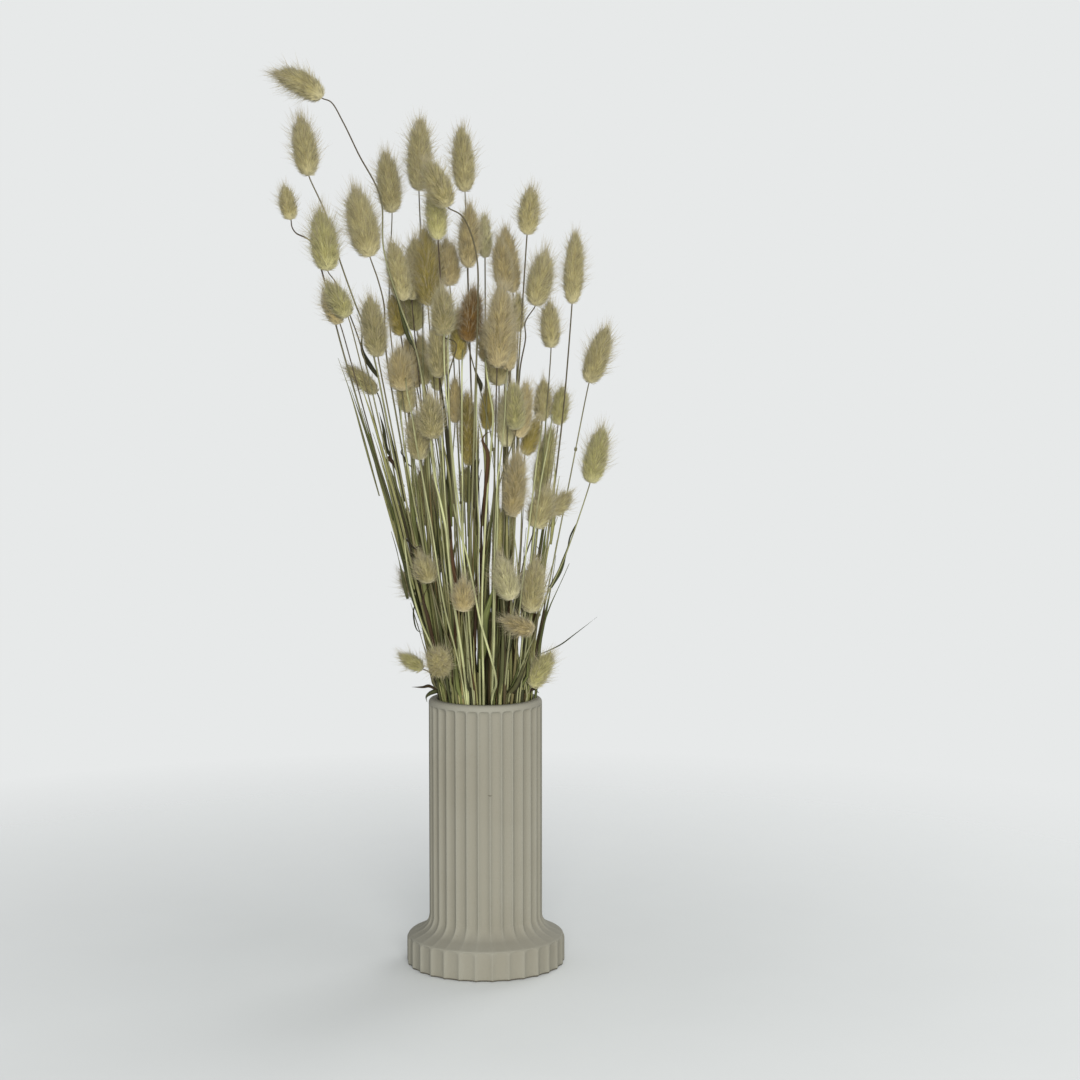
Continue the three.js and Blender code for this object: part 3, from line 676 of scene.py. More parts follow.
# A closed skin round a path: x and y are the outline at each point of it, sideways and to the front, and
# twist is how far it is turned there. Gives its points and triangles, how far along each point lies, and
# how far round, which is shares on the outline and middle at the two ends.
def skin_round(path, x, y, twist, shares, middle):
    side, front = across(unit(np.gradient(path, axis=0)))
    twist = np.broadcast_to(twist, len(path))[:, None]
    x, y = x * np.cos(twist) - y * np.sin(twist), x * np.sin(twist) + y * np.cos(twist)
    rings = path[:, None] + side[:, None] * x[..., None] + front[:, None] * y[..., None]
    points = np.vstack([rings.reshape(-1, 3), path[0], path[-1]])
    sides = len(shares)
    travelled = distance_along(path)
    run = np.concatenate([np.repeat(travelled, sides), [0, travelled[-1]]])
    round_it = np.concatenate([np.tile(shares, len(path)), [middle, middle]])
    return points, closed_triangles(len(path), sides), run, round_it


# A closed bar along a path. width and thickness are its half sizes at each point, and twist its turn.
def bar(path, width, thickness, sides, twist=0.0):
    angles = np.linspace(0, 2 * math.pi, sides, endpoint=False)
    x = np.cos(angles) * np.broadcast_to(width, len(path))[:, None]
    y = np.sin(angles) * np.broadcast_to(thickness, len(path))[:, None]
    return skin_round(path, x, y, twist, np.arange(sides) / sides, 0)


# Vase

# Part of a circle in the outline, from the start to the end turn in degrees.
def arc(radius, height, size, start, end, steps):
    turns = np.radians(np.linspace(start, end, steps + 1))
    return [(radius + size * math.cos(turn), height + size * math.sin(turn)) for turn in turns]


# The points between two others, without those two.
def straight(start, end, steps):
    return [tuple(point) for point in np.linspace(start, end, steps + 1)[1:-1]]


# From the underside's edge up the outside, over the rim and down the inside to the floor.
def vase_outline():
    bottom = arc(FOOT_RADIUS - FOOT_BOTTOM_EDGE, FOOT_BOTTOM_EDGE, FOOT_BOTTOM_EDGE, -90, 0, steps=3)
    foot_top = arc(FOOT_RADIUS - FOOT_EDGE, FOOT_SIDE_HEIGHT, FOOT_EDGE, 0, 90 - FOOT_SLOPE, steps=10)
    fillet = arc(COLUMN_RADIUS + FOOT_FILLET, COLUMN_START, FOOT_FILLET, 270 - FOOT_SLOPE, 180, steps=12)
    arch_start = (COLUMN_RADIUS, COLUMN_ARCH_FROM)
    rim_out = arc(COLUMN_RADIUS - RIM_OUTER_EDGE, VASE_HEIGHT - RIM_OUTER_EDGE, RIM_OUTER_EDGE,
                  0, 90, steps=6)
    rim_in = arc(INNER_RADIUS + RIM_INNER_EDGE, VASE_HEIGHT - RIM_INNER_EDGE, RIM_INNER_EDGE,
                 90, 180, steps=4)
    inner_floor = (INNER_RADIUS - INNER_TAPER, FLOOR_THICKNESS)
    return [
        *bottom,
        *straight(bottom[-1], foot_top[0], steps=7),
        *foot_top,
        *straight(foot_top[-1], fillet[0], steps=5),
        *fillet,
        *straight(fillet[-1], arch_start, steps=10),
        *straight(arch_start, rim_out[0], steps=14),
        *rim_out,
        *rim_in,
        *straight(rim_in[-1], inner_floor, steps=6),
        inner_floor,
    ]


# How deep the flutes are scooped at each point of the outline, and how deep they would be at full width.
# Where they end, at the top of the foot's side and below the rim, the scoop gets narrower as it gets
# shallower and so closes in an arch. Where the column flares into the foot they only get shallower.
def flute_depths(outline):
    heights = outline[:, 1]
    outside = np.arange(len(outline)) <= np.argmax(heights)
    column_end = np.clip((COLUMN_FLUTE_TOP - heights) / FLUTE_END, 0, 1)
    column = COLUMN_FLUTE_DEPTH * np.sqrt(1 - (1 - column_end)**2)
    flare = np.clip((heights - FLARE_LOW) / (COLUMN_START - FLARE_LOW), 0, 1)
    flare = FLARE_LEAST + (1 - FLARE_LEAST) * flare**2 * (3 - 2 * flare)
    foot_end = np.clip((FOOT_FLUTE_TOP - heights) / FLUTE_END, 0, 1)
    foot = FOOT_FLUTE_DEPTH * np.sqrt(1 - (1 - foot_end)**2)
    upper = heights > FLARE_LOW
    depths = np.where(upper, column * flare, foot)
    widths = np.where(upper, COLUMN_FLUTE_DEPTH * flare, FOOT_FLUTE_DEPTH)
    return np.where(outside, depths, 0), widths


def make_vase(material):
    outline = np.array(vase_outline())
    depths, widths = flute_depths(outline)
    sides = FLUTE_COUNT * FLUTE_COLUMNS
    turns = np.linspace(0, 2 * math.pi, sides, endpoint=False)
    from_middle = np.abs((turns * FLUTE_COUNT / (2 * math.pi)) % 1 - 0.5) * 2
    scoop = np.clip(depths[:, None] - widths[:, None] * from_middle**FLUTE_FLATNESS, 0, None)
    reach = outline[:, 0, None] - scoop
    rings = np.stack([reach * np.cos(turns), reach * np.sin(turns),
                      np.broadcast_to(outline[:, 1, None], reach.shape)], -1)
    middle = [(0, 0, outline[0, 1]), (0, 0, outline[-1, 1])]
    points = np.vstack([rings.reshape(-1, 3), middle])
    # How deep each point lies in a flute, kept for the painted shade that darkens the flutes.
    hollow = np.concatenate([(scoop / COLUMN_FLUTE_DEPTH).ravel(), [0, 0]])
    vase = Gathered("hollow")
    vase.add(points, closed_triangles(len(outline), sides), hollow=hollow)
    piece = vase.make("fluted_vase", material)
    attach(piece, "root")
    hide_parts("vase")


# Stalks, sheaths and leaves

# The stalk's path, a little way into the foot of its head.
def stalk_path(route, seed):
    axis = head_axis(seed)
    inside = axis[0] + unit(axis[1] - axis[0]) * INTO_HEAD
    return smooth_through(np.vstack([route, inside]), STALK_SPANS)


def height_share(path, height):
    return float(np.interp(height, path[:, 2], np.arange(len(path)))) / (len(path) - 1)


def part_of(path, start, end, count):
    spots = np.linspace(start, end, count) * (len(path) - 1)
    steps = np.arange(len(path))
    return np.stack([np.interp(spots, steps, path[:, axis]) for axis in range(3)], -1)


# A stalk with a high head is dark just below it and gets paler further down. The low ones are pale all along.
def paleness_along(path):
    travelled = distance_along(path)
    height = clamp((path[-1, 2] - PALE_NECKS_UP_TO) / (DARK_NECKS_FROM - PALE_NECKS_UP_TO), 0, 1)
    below = travelled[-1] - travelled - DARK_NECK * height
    reach = PALE_BELOW * (LEAST_PALE_SHARE + (1 - LEAST_PALE_SHARE) * height)
    return np.clip(below / reach, 0, 1)


def add_stalk(stalks, path, radius, paleness, rng):
    points, triangles, run, round_it = bar(path, radius, radius, STALK_SIDES)
    paleness = np.concatenate([np.repeat(paleness, STALK_SIDES), paleness[[0, -1]]])
    stalks.add(points, triangles, tint=rng.uniform(), run=run, round_it=round_it, pale=paleness)


# The dark swollen ring where a leaf grows from a stalk.
def add_joint(stalks, path, height):
    middle = height_share(path, height) * (len(path) - 1)
    reach = JOINT_LENGTH / 2 / distance_along(path)[-1] * (len(path) - 1)
    start, end = (middle - reach) / (len(path) - 1), (middle + reach) / (len(path) - 1)
    ring = part_of(path, start, end, len(JOINT_SWELLING))
    radius = JOINT_RADIUS * JOINT_SWELLING
    points, triangles, run, round_it = bar(ring, radius, radius, STALK_SIDES)
    stalks.add(points, triangles, tint=JOINT_TINT, run=run, round_it=round_it, pale=JOINT_PALENESS)


# The route of a stray stalk, from the vase's floor up to its top, which is tucked in between the heads.
def stray_path(seed):
    places = [photo_point(place, seed["depth"]) for place in seed["places"]]
    rise = unit(places[0] - places[1])
    top = places[0] + rise * TUCKED_IN / 2 + np.array([0, TUCKED_IN, 0])
    neck = places[-1][:2] * min(1, (NECK_RADIUS - 1) / np.linalg.norm(places[-1][:2]))
    low = np.array([*neck * STRAY_LOW_SHARE, FLOOR_THICKNESS + RESTING_GAP])
    mouth = np.array([*neck, NECK_HEIGHT])
    return smooth_through([low, mouth, *reversed(places), top], STALK_SPANS)


def make_stalks(paths, material, rng):
    stalks = Gathered("tint", "run", "round_it", "pale")
    for path in paths:
        share = np.linspace(0, 1, len(path))
        radius = STALK_LOW_RADIUS + (STALK_RADIUS - STALK_LOW_RADIUS) * share
        radius = radius * rng.uniform(*STALK_UNEVENNESS)
        add_stalk(stalks, path, radius, paleness_along(path) * rng.uniform(*STALK_PALENESS), rng)
        for height in rng.uniform(NECK_HEIGHT + JOINTS_FROM, NECK_HEIGHT + JOINTS_UP_TO):
            if height < path[-1, 2] - JOINT_BELOW_HEAD and rng.uniform() < JOINT_CHANCE:
                add_joint(stalks, path, height)
    for seed in STRAYS:
        path = stray_path(seed)
        radius = seed["width"] / 2 * millimetres_per_pixel(seed["depth"])
        radius = radius * np.linspace(*STRAY_TAPER, len(path))
        add_stalk(stalks, path, radius, np.full(len(path), seed["pale"]), rng)
    piece = stalks.make("stalks", material)
    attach(piece, "root")
    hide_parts("stems")


# One sheath between two heights, some round and some pressed flat, with a thin torn mouth at its end.
def add_sheath(sheaths, path, low, high, width, rng):
    wrapped = part_of(path, height_share(path, low), height_share(path, high), SHEATH_RINGS)
    share = np.linspace(0, 1, len(wrapped))
    width = width * rng.uniform(*SHEATH_UNEVENNESS)
    flat = math.sqrt(rng.uniform(*SHEATH_FLATNESS))
    near_mouth = np.clip((share - SHEATH_MOUTH_FROM) / (1 - SHEATH_MOUTH_FROM), 0, 1)
    half = width * (1 - SHEATH_TAPER * share) * (1 - SHEATH_MOUTH_TAPER * near_mouth)
    twist = rng.uniform(0, math.pi) + share * rng.uniform(-1, 1)
    points, triangles, run, round_it = bar(wrapped, half / flat, half * flat, SHEATH_SIDES, twist)
    sheaths.add(points, triangles, tint=rng.uniform(), run=run, round_it=round_it,
                pale=rng.uniform(*SHEATH_PALENESS))


# The old leaf bases that wrap the lower part of each stalk, one below and one above a joint.
def make_sheaths(paths, material, rng):
    sheaths = Gathered("tint", "run", "round_it", "pale")
    for path in paths:
        mouth = min(rng.uniform(*SHEATH_TOP_SHARE) * path[-1, 2], SHEATH_HIGHEST)
        if mouth < NECK_HEIGHT + SHEATH_LEAST:
            continue
        joint_limit = min(NECK_HEIGHT + SHEATH_JOINT_ABOVE, mouth - SHEATH_JOINT_TO_MOUTH)
        joint = rng.uniform(NECK_HEIGHT - SHEATH_JOINT_BELOW, joint_limit)
        add_sheath(sheaths, path, SHEATH_START, joint, SHEATH_LOW_WIDTH, rng)
        add_sheath(sheaths, path, joint, mouth, SHEATH_HIGH_WIDTH, rng)
    piece = sheaths.make("leaf_sheaths", material)
    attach(piece, "root")
    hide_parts("stems")


# Narrow where it leaves the stem, widest at a third of its length, and drawn out to a point.
def leaf_fullness(share):
    low = LEAF_ROOT_SHARE + (1 - LEAF_ROOT_SHARE) * share / LEAF_WIDEST
    rest = np.clip((share - LEAF_WIDEST) / (1 - LEAF_WIDEST), 0, 1)
    return np.where(share < LEAF_WIDEST, low, 1 - rest**LEAF_POINT)


# A blade is folded along its middle, and has two thin wings.
def add_blade(leaves, path, width, twist, fold, dryness, pale=0.0):
    share = np.linspace(0, 1, len(path))
    half = width / 2 * leaf_fullness(share)
    half[-1] = LEAF_END
    x = BLADE_WINGS * half[:, None]
    y = np.abs(BLADE_WINGS) * fold * half[:, None] + BLADE_FACES * LEAF_THICKNESS / 2
    skin = skin_round(path, x, y, twist * share, (BLADE_WINGS + 1) / 2, 0.5)
    points, triangles, run, round_it = skin
    leaves.add(points, triangles, tint=dryness, run=run, round_it=round_it, pale=pale)


def make_leaves(paths, material, rng):
    leaves = Gathered("tint", "run", "round_it", "pale")
    for blade in LEAVES:
        path = paths[blade["stem"]]
        root = part_of(path, height_share(path, blade["height"]), 1, 2)[0]
        places = [photo_point(place, root[1] + place[2]) for place in blade["places"]]
        route = smooth_through([root, *places], LEAF_SPANS)
        twist = math.radians(blade["twist"])
        add_blade(leaves, route, blade["width"], twist, LEAF_FOLD, blade["dryness"])
    for path in paths:
        for _ in range(LOOSE_BLADES):
            add_loose_blade(leaves, path, rng)
    for _ in range(MOUTH_STUBS):
        add_mouth_stub(leaves, paths[rng.integers(len(paths))], rng)
    piece = leaves.make("dried_leaves", material)
    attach(piece, "root")
    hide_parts("stems")


# A long narrow blade that leaves a stem low in the bunch and dries against it, bending a little away.
def add_loose_blade(leaves, path, rng):
    height = rng.uniform(*LOOSE_HEIGHTS)
    length = rng.uniform(*LOOSE_LENGTHS)
    aside = rng.normal(0, LOOSE_ASIDE, 3) * [1, 1, 0]
    drift = rng.normal(0, 1, 3) * LOOSE_DRIFT
    curl = rng.normal(0, 1, 3) * LOOSE_CURL
    twist = rng.uniform(*BLADE_TWISTS)
    width = rng.uniform(*LOOSE_WIDTHS)
    fold = rng.uniform(*BLADE_FOLDS)
    dryness = rng.uniform()
    pale = rng.uniform()**2
    if height + length > path[-1, 2] - LOOSE_BELOW_HEAD:
        return
    route = part_of(path, height_share(path, height), height_share(path, height + length), LOOSE_RINGS)
    share = np.linspace(0, 1, len(route))[:, None]
    curled = np.clip(share - LOOSE_CURLS_FROM, 0, 1)**2 * LOOSE_CURL_GROWTH
    route = route + aside + drift * share**BLADE_DRIFT_POWER + curl * curled
    add_blade(leaves, route, width, twist, fold, dryness, pale)


# A short broken blade that stands in the vase's mouth and fills the gaps between the stems.
def add_mouth_stub(leaves, path, rng):
    height = rng.uniform(*STUB_HEIGHTS)
    length = rng.uniform(*STUB_LENGTHS)
    aside = rng.normal(0, STUB_ASIDE, 2)
    drift = rng.normal(0, 1, 3) * STUB_DRIFT
    width = rng.uniform(*STUB_WIDTHS)
    dryness = rng.uniform()
    pale = rng.uniform()**3
    end = min(height + length, path[-1, 2] - STUB_BELOW_HEAD)
    route = part_of(path, height_share(path, height), height_share(path, end), STUB_RINGS)
    share = np.linspace(0, 1, len(route))[:, None]
    route = route + [*aside, 0] + drift * share**BLADE_DRIFT_POWER
    far = np.linalg.norm(route[:, :2], axis=1)
    inside = np.where(route[:, 2] < STUB_HELD_UP_TO, np.minimum(1, NECK_RADIUS / far), 1)
    route[:, :2] *= inside[:, None]
    add_blade(leaves, route, width, rng.uniform(*BLADE_TWISTS), rng.uniform(*BLADE_FOLDS), dryness, pale)


# Furry heads

def body_radius(full, share):
    closing = np.sqrt(np.clip((CORE_END - share) / (CORE_END - CORE_CLOSES_FROM), 0, 1))
    return full * CORE_SHARE * head_fullness(share) * closing


# Nearly the head's surface: its length times the way round it, less for its rounded ends.
def body_area(axis, full):
    return 2 * math.pi * full * CORE_SHARE * np.linalg.norm(axis[2] - axis[0]) * ROUNDED_ENDS


# Points on the head's body, with the way out of it and the way along it to the tip. around is in radians.
def on_body(axis, full, share, around):
    centre = axis_point(axis, share)
    slope = axis_slope(axis, share)
    length = np.linalg.norm(slope, axis=-1)
    along = slope / length[..., None]
    side, front = across(along)
    outwards = side * np.cos(around)[..., None] + front * np.sin(around)[..., None]
    low, high = np.clip(share - BODY_STEP, 0, 1), np.clip(share + BODY_STEP, 0, 1)
    grown = (body_radius(full, high) - body_radius(full, low)) / ((high - low) * length)
    lie = unit(along + outwards * grown[..., None])
    stand = unit(outwards - along * grown[..., None])
    return centre + outwards * body_radius(full, share)[..., None], stand, lie


def add_core(fur, axis, full, tone):
    rows = np.linspace(0, 1, CORE_ROWS)[1:-1]**CORE_ROW_CROWDING * CORE_END
    share = np.concatenate([[CORE_START], rows])
    around = np.linspace(0, 2 * math.pi, CORE_SIDES, endpoint=False)
    share_grid, around_grid = np.meshgrid(share, around, indexing="ij")
    points, stand, _ = on_body(axis, full, share_grid.ravel(), around_grid.ravel())
    ends = np.stack([axis_point(axis, 0.0), axis_point(axis, CORE_END)])
    tips = np.stack([unit(axis[0] - axis[1]), unit(axis[2] - axis[1])])
    triangles = closed_triangles(len(share), CORE_SIDES)
    fur.add(np.vstack([points, ends]), triangles, np.vstack([stand, tips]), strand=tone, reach=CORE_REACH,
            share=np.concatenate([share_grid.ravel(), [0, 1]]), whisker=0)


# The triangles of count spikes, each with a number of three-cornered rings and then a tip.
def spike_triangles(count, rings):
    size = rings * 3 + 1
    shape = []
    for ring in range(rings - 1):
        for corner in range(3):
            a, b = ring * 3 + corner, ring * 3 + (corner + 1) % 3
            shape += [(a, b, b + 3), (a, b + 3, a + 3)]
    last = (rings - 1) * 3
    shape += [(last + corner, last + (corner + 1) % 3, size - 1) for corner in range(3)]
    return (np.arange(count)[:, None, None] * size + np.array(shape)).reshape(-1, 3)


# Three-sided spikes from their roots, through middles for the curved ones, to their tips. They are shaded
# partly with the body they grow on, by its normals, and partly as the round hairs they are.
def add_spikes(fur, roots, middles, tips, radius, normals, roundness, strand, share, whisker):
    along = unit(tips - roots)
    side, front = across(along)
    rings = [(roots, 1.0)] if middles is None else [(roots, 1.0), (middles, AWN_MIDDLE_RADIUS)]
    points = []
    facing = []
    for place, size in rings:
        for corner in range(3):
            turn = 2 * math.pi * corner / 3
            offset = side * math.cos(turn) + front * math.sin(turn)
            points.append(place + offset * radius * size)
            facing.append(unit(normals * (1 - roundness) + offset * roundness))
    points.append(tips)
    facing.append(unit(normals * (1 - roundness) + along * roundness))
    reach = np.append(np.repeat(np.arange(len(rings)) / 2, 3), 1.0)
    fur.add(np.stack(points, 1).reshape(-1, 3), spike_triangles(len(roots), len(rings)),
            np.stack(facing, 1).reshape(-1, 3), strand=np.repeat(strand, len(points)),
            reach=np.tile(reach, len(roots)), share=np.repeat(share, len(points)), whisker=whisker)


# How far the awns stand up: from 0 at the smooth foot to 1 where the head is full.
def past_foot(share):
    return np.clip(share / FOOT_SMOOTH, 0, 1)


# How far hairs and awns have grown: less at the foot.
def growth(share):
    return LEAST_GROWTH + (1 - LEAST_GROWTH) * past_foot(share)


# Shares along the head that spread evenly over its surface.
def even_shares(full, count):
    share = np.linspace(*TUFT_SHARES, TUFT_SHARE_STEPS)
    weight = np.cumsum(body_radius(full, share) + full * TUFT_LEAST_WEIGHT)
    weight = (weight - weight[0]) / (weight[-1] - weight[0])
    return np.interp((np.arange(count) + 0.5) / count, weight, share)


# The ways the coat's hairs lie, from how far each is lifted off the body and how far it sways on it.
def hair_ways(stand, lie, lift, sway):
    sideways = np.cross(stand, lie)
    way = (lie * np.cos(sway)[:, None] + sideways * np.sin(sway)[:, None]) * np.cos(lift)[:, None]
    return way + stand * np.sin(lift)[:, None]


def hair_lengths(full, share):
    size = clamp(full / USUAL_RADIUS, LEAST_HAIR_SIZE, MOST_HAIR_SIZE)
    near_tip = np.clip(share - HAIR_SHORTER_FROM, 0, 1)
    shorter = 1 - HAIR_SHORTER_BY * near_tip / (1 - HAIR_SHORTER_FROM)
    return HAIR_LENGTH * size * (growth(share) * shorter)


# The soft coat: tufts set in a spiral as the florets are, each of hairs that lie close along the body.
def add_coat(fur, axis, full, tone, rng):
    tufts = int(body_area(axis, full) * HAIRS_PER_AREA / HAIRS_PER_TUFT)
    tuft_strand = np.clip(tone + rng.normal(0, TUFT_TONE_SPREAD, tufts), 0, 1)
    tuft_lift = rng.normal(0, TUFT_LIFT_SPREAD, tufts)
    tuft_sway = rng.normal(0, TUFT_SWAY_SPREAD, tufts)
    pick = np.repeat(np.arange(tufts), HAIRS_PER_TUFT)
    count = len(pick)
    share = even_shares(full, tufts)[pick] + rng.normal(0, HAIR_SHARE_SPREAD, count)
    share = np.clip(share, *HAIR_SHARES)
    around = pick * TUFT_TURN + rng.normal(0, HAIR_TURN_SPREAD, count)
    roots, stand, lie = on_body(axis, full, share, around)
    near_tip = np.clip(share - AWN_TIP_FROM, 0, 1)
    lift = HAIR_LIFT + HAIR_MIDDLE_LIFT * np.sin(math.pi * share) + HAIR_TIP_LIFT * near_tip
    lift = np.radians(lift) + tuft_lift[pick] + rng.normal(0, HAIR_LIFT_SPREAD, count)
    sway = tuft_sway[pick] + rng.normal(0, HAIR_SWAY_SPREAD, count)
    length = hair_lengths(full, share) * rng.uniform(*HAIR_LENGTHS, count)
    tips = roots + hair_ways(stand, lie, lift, sway) * length[:, None]
    tips = tips.reshape(tufts, HAIRS_PER_TUFT, 3)
    tips += (tips.mean(axis=1, keepdims=True) - tips) * TUFT_GATHER
    strand = np.clip(tuft_strand[pick] + rng.normal(0, HAIR_TONE_SPREAD, count), 0, 1)
    lean = (HAIR_NORMAL_LEAN + HAIR_NORMAL_TIP_LEAN * share**2)[:, None]
    normals = unit(stand + lie * lean + rng.normal(0, HAIR_ROUGHNESS, (count, 3)))
    add_spikes(fur, roots - stand * HAIR_ROOT_DEPTH, None, tips.reshape(count, 3), HAIR_RADIUS,
               normals, HAIR_ROUNDNESS, strand, share, 0)


# The ways awns stand, with lifts off the body in degrees: less near the head's tip and at its smooth foot.
def awn_ways(share, stand, lie, lifts, uneven, rng):
    near_tip = np.clip(share - AWN_TIP_FROM, 0, 1)
    lift = rng.uniform(*lifts, len(share)) - AWN_TIP_DROP * near_tip / (1 - AWN_TIP_FROM)
    lift = np.radians(lift) * (AWN_FOOT_LIFT + (1 - AWN_FOOT_LIFT) * past_foot(share))
    way = lie * np.cos(lift)[:, None] + stand * np.sin(lift)[:, None]
    return unit(way + rng.normal(0, uneven, (len(share), 3)))


def awn_lengths(full, share, usual, lengths, rng):
    size = clamp(full / USUAL_RADIUS, LEAST_HAIR_SIZE, MOST_AWN_SIZE)
    return (usual * size * rng.uniform(*lengths, len(share)) * growth(share))[:, None]


# The dense fringe of short straight awns that stand well off the coat.
def add_fringe(fur, axis, full, rng):
    count = int(body_area(axis, full) * FRINGE_PER_AREA)
    share = rng.uniform(*FRINGE_SHARES, count)
    roots, stand, lie = on_body(axis, full, share, rng.uniform(0, 2 * math.pi, count))
    way = awn_ways(share, stand, lie, FRINGE_LIFTS, FRINGE_WAY_SPREAD, rng)
    tips = roots + way * awn_lengths(full, share, FRINGE_LENGTH, FRINGE_LENGTHS, rng)
    strand = rng.uniform(*FRINGE_TONES, count)
    add_spikes(fur, roots, None, tips, FRINGE_RADIUS, stand, AWN_ROUNDNESS, strand, share,
               FRINGE_WHISKER_TONE)


# The long fine awns that stand out beyond the coat and bend towards the tip.
def add_whiskers(fur, axis, full, rng):
    count = int(body_area(axis, full) * WHISKERS_PER_AREA)
    share = rng.uniform(WHISKER_START, 1.0, count)**WHISKER_CROWDING * WHISKER_END
    share = np.clip(share, WHISKER_START, WHISKER_END)
    roots, stand, lie = on_body(axis, full, share, rng.uniform(0, 2 * math.pi, count))
    way = awn_ways(share, stand, lie, WHISKER_LIFTS, WHISKER_WAY_SPREAD, rng)
    length = awn_lengths(full, share, WHISKER_LENGTH, WHISKER_LENGTHS, rng)
    middles = roots + way * length * 0.5
    bent = unit(way + lie * rng.uniform(*WHISKER_BENDS, (count, 1)))
    tips = middles + bent * length * 0.5
    strand = rng.uniform(0, 1, count)
    add_spikes(fur, roots, middles, tips, WHISKER_RADIUS, stand, AWN_ROUNDNESS, strand, share, 1)


def make_heads(materials, rng):
    for number, seeds in enumerate(HEADS):
        node = f"tail_{number + 1:02d}"
        for letter, seed in zip("abc", seeds):
            fur = Gathered("strand", "reach", "share", "whisker")
            axis = head_axis(seed)
            full = head_radius(seed)
            # A random tone for the head, plus its painted light or shade from the table.
            tone = clamp(rng.normal(TONE_MIDDLE, TONE_SPREAD) + seed["light"], *TONE_LIMITS)
            add_core(fur, axis, full, tone)
            add_coat(fur, axis, full, tone, rng)
            add_fringe(fur, axis, full, rng)
            add_whiskers(fur, axis, full, rng)
            piece = fur.make(f"fur_{number + 1:02d}{letter}", materials[seed["hue"]])
            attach(piece, "root")
            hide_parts(node)


# Colours and materials

def colour(red, green, blue):
    shades = [value / 255 for value in (red, green, blue)]
    return (*[s / 12.92 if s <= 0.04045 else ((s + 0.055) / 1.055)**2.4 for s in shades], 1.0)


# Links what is given as a socket, and sets the rest. An input without a name of its own is _ and its number.
def give_inputs(tree, node, inputs):
    for name, value in inputs.items():
        socket = node.inputs[int(name[1:]) if name[0] == "_" else name.replace("_", " ")]
        if isinstance(value, bpy.types.NodeSocket):
            tree.links.new(value, socket)
        else:
            socket.default_value = value


def add_node(tree, kind, settings=None, **inputs):
    node = tree.nodes.new(f"ShaderNode{kind}")
    for name, value in (settings or {}).items():
        setattr(node, name, value)
    give_inputs(tree, node, inputs)
    return node


def mix(tree, factor, first, second):
    settings = {"data_type": "RGBA", "clamp_factor": True}
    return add_node(tree, "Mix", settings, _0=factor, _6=first, _7=second).outputs[2]


def value_of(tree, operation, first, second=0.0, clamped=False):
    settings = {"operation": operation, "use_clamp": clamped}
    return add_node(tree, "Math", settings, _0=first, _1=second).outputs[0]


def spread(tree, value, low, high, new_low=0.0, new_high=1.0):
    node = add_node(tree, "MapRange", {"clamp": True}, Value=value, From_Min=low, From_Max=high,
                    To_Min=new_low, To_Max=new_high)
    return node.outputs[0]


def point_value(tree, name):
    return add_node(tree, "Attribute", {"attribute_name": name}).outputs["Fac"]


def place_in_object(tree):
    return add_node(tree, "TexCoord").outputs["Object"]


def noise(tree, place, size, detail=2.0, roughness=0.5):
    return add_node(tree, "TexNoise", Vector=place, Scale=size, Detail=detail, Roughness=roughness)


# A shader node group with named inputs and outputs: each is a name, a kind and its usual value.
def new_group(name, inputs, outputs):
    group = bpy.data.node_groups.new(name, "ShaderNodeTree")
    for label, kind, usual in inputs:
        socket = group.interface.new_socket(label, in_out="INPUT", socket_type=f"NodeSocket{kind}")
        socket.default_value = usual
    for label, kind in outputs:
        group.interface.new_socket(label, in_out="OUTPUT", socket_type=f"NodeSocket{kind}")
    given = group.nodes.new("NodeGroupInput").outputs
    result = group.nodes.new("NodeGroupOutput").inputs
    return group, given, result


def use_group(tree, group, **inputs):
    node = tree.nodes.new("ShaderNodeGroup")
    node.node_tree = group
    give_inputs(tree, node, inputs)
    return node.outputs


def new_material(name):
    material = bpy.data.materials.new(name)
    material.use_nodes = True
    shader = material.node_tree.nodes["Principled BSDF"]
    return material, material.node_tree, shader


PATCH_EDGES = (0.4, 0.65)


# Uneven tone: one colour drifting into another in soft patches.
def make_patches_group():
    group, given, result = new_group(
        "soft_patches",
        [("Colour", "Color", (0.5, 0.5, 0.5, 1)), ("Patch Colour", "Color", (0.4, 0.4, 0.4, 1)),
         ("Size", "Float", 20.0), ("Strength", "Float", 0.5)],
        [("Colour", "Color")],
    )
    cloud = noise(group, place_in_object(group), given["Size"], detail=3.0).outputs["Fac"]
    cloud = spread(group, cloud, *PATCH_EDGES)
    amount = value_of(group, "MULTIPLY", cloud, given["Strength"], clamped=True)
    group.links.new(mix(group, amount, given["Colour"], given["Patch Colour"]), result["Colour"])
    return group


SPECK_EDGE = 0.8
SPECK_RANGE = 0.3
SPECK_SOFTNESS = 0.06


# Fine grain: a height for the bump and a mask of specks.
def make_grain_group():
    group, given, result = new_group(
        "fine_grain",
        [("Size", "Float", 1500.0), ("Speck Size", "Float", 700.0), ("Speck Share", "Float", 0.3)],
        [("Height", "Float"), ("Specks", "Float")],
    )
    place = place_in_object(group)
    grain = noise(group, place, given["Size"], detail=4.0, roughness=0.7).outputs["Fac"]
    speck = noise(group, place, given["Speck Size"], detail=1.0).outputs["Fac"]
    more = value_of(group, "MULTIPLY", given["Speck Share"], SPECK_RANGE)
    edge = value_of(group, "SUBTRACT", SPECK_EDGE, more)
    mask = spread(group, value_of(group, "SUBTRACT", speck, edge), 0.0, SPECK_SOFTNESS)
    group.links.new(grain, result["Height"])
    group.links.new(mask, result["Specks"])
    return group


FIBRE_STRETCH = 0.02
FIBRE_SHIFT = 57.0
FIBRE_EDGES = (0.35, 0.65)
BLOTCHES_ROUND = 1.5
BLOTCH_STRETCH = 0.05
BLOTCH_SHIFT = 91.0
BLOTCH_EDGES = (0.42, 0.68)


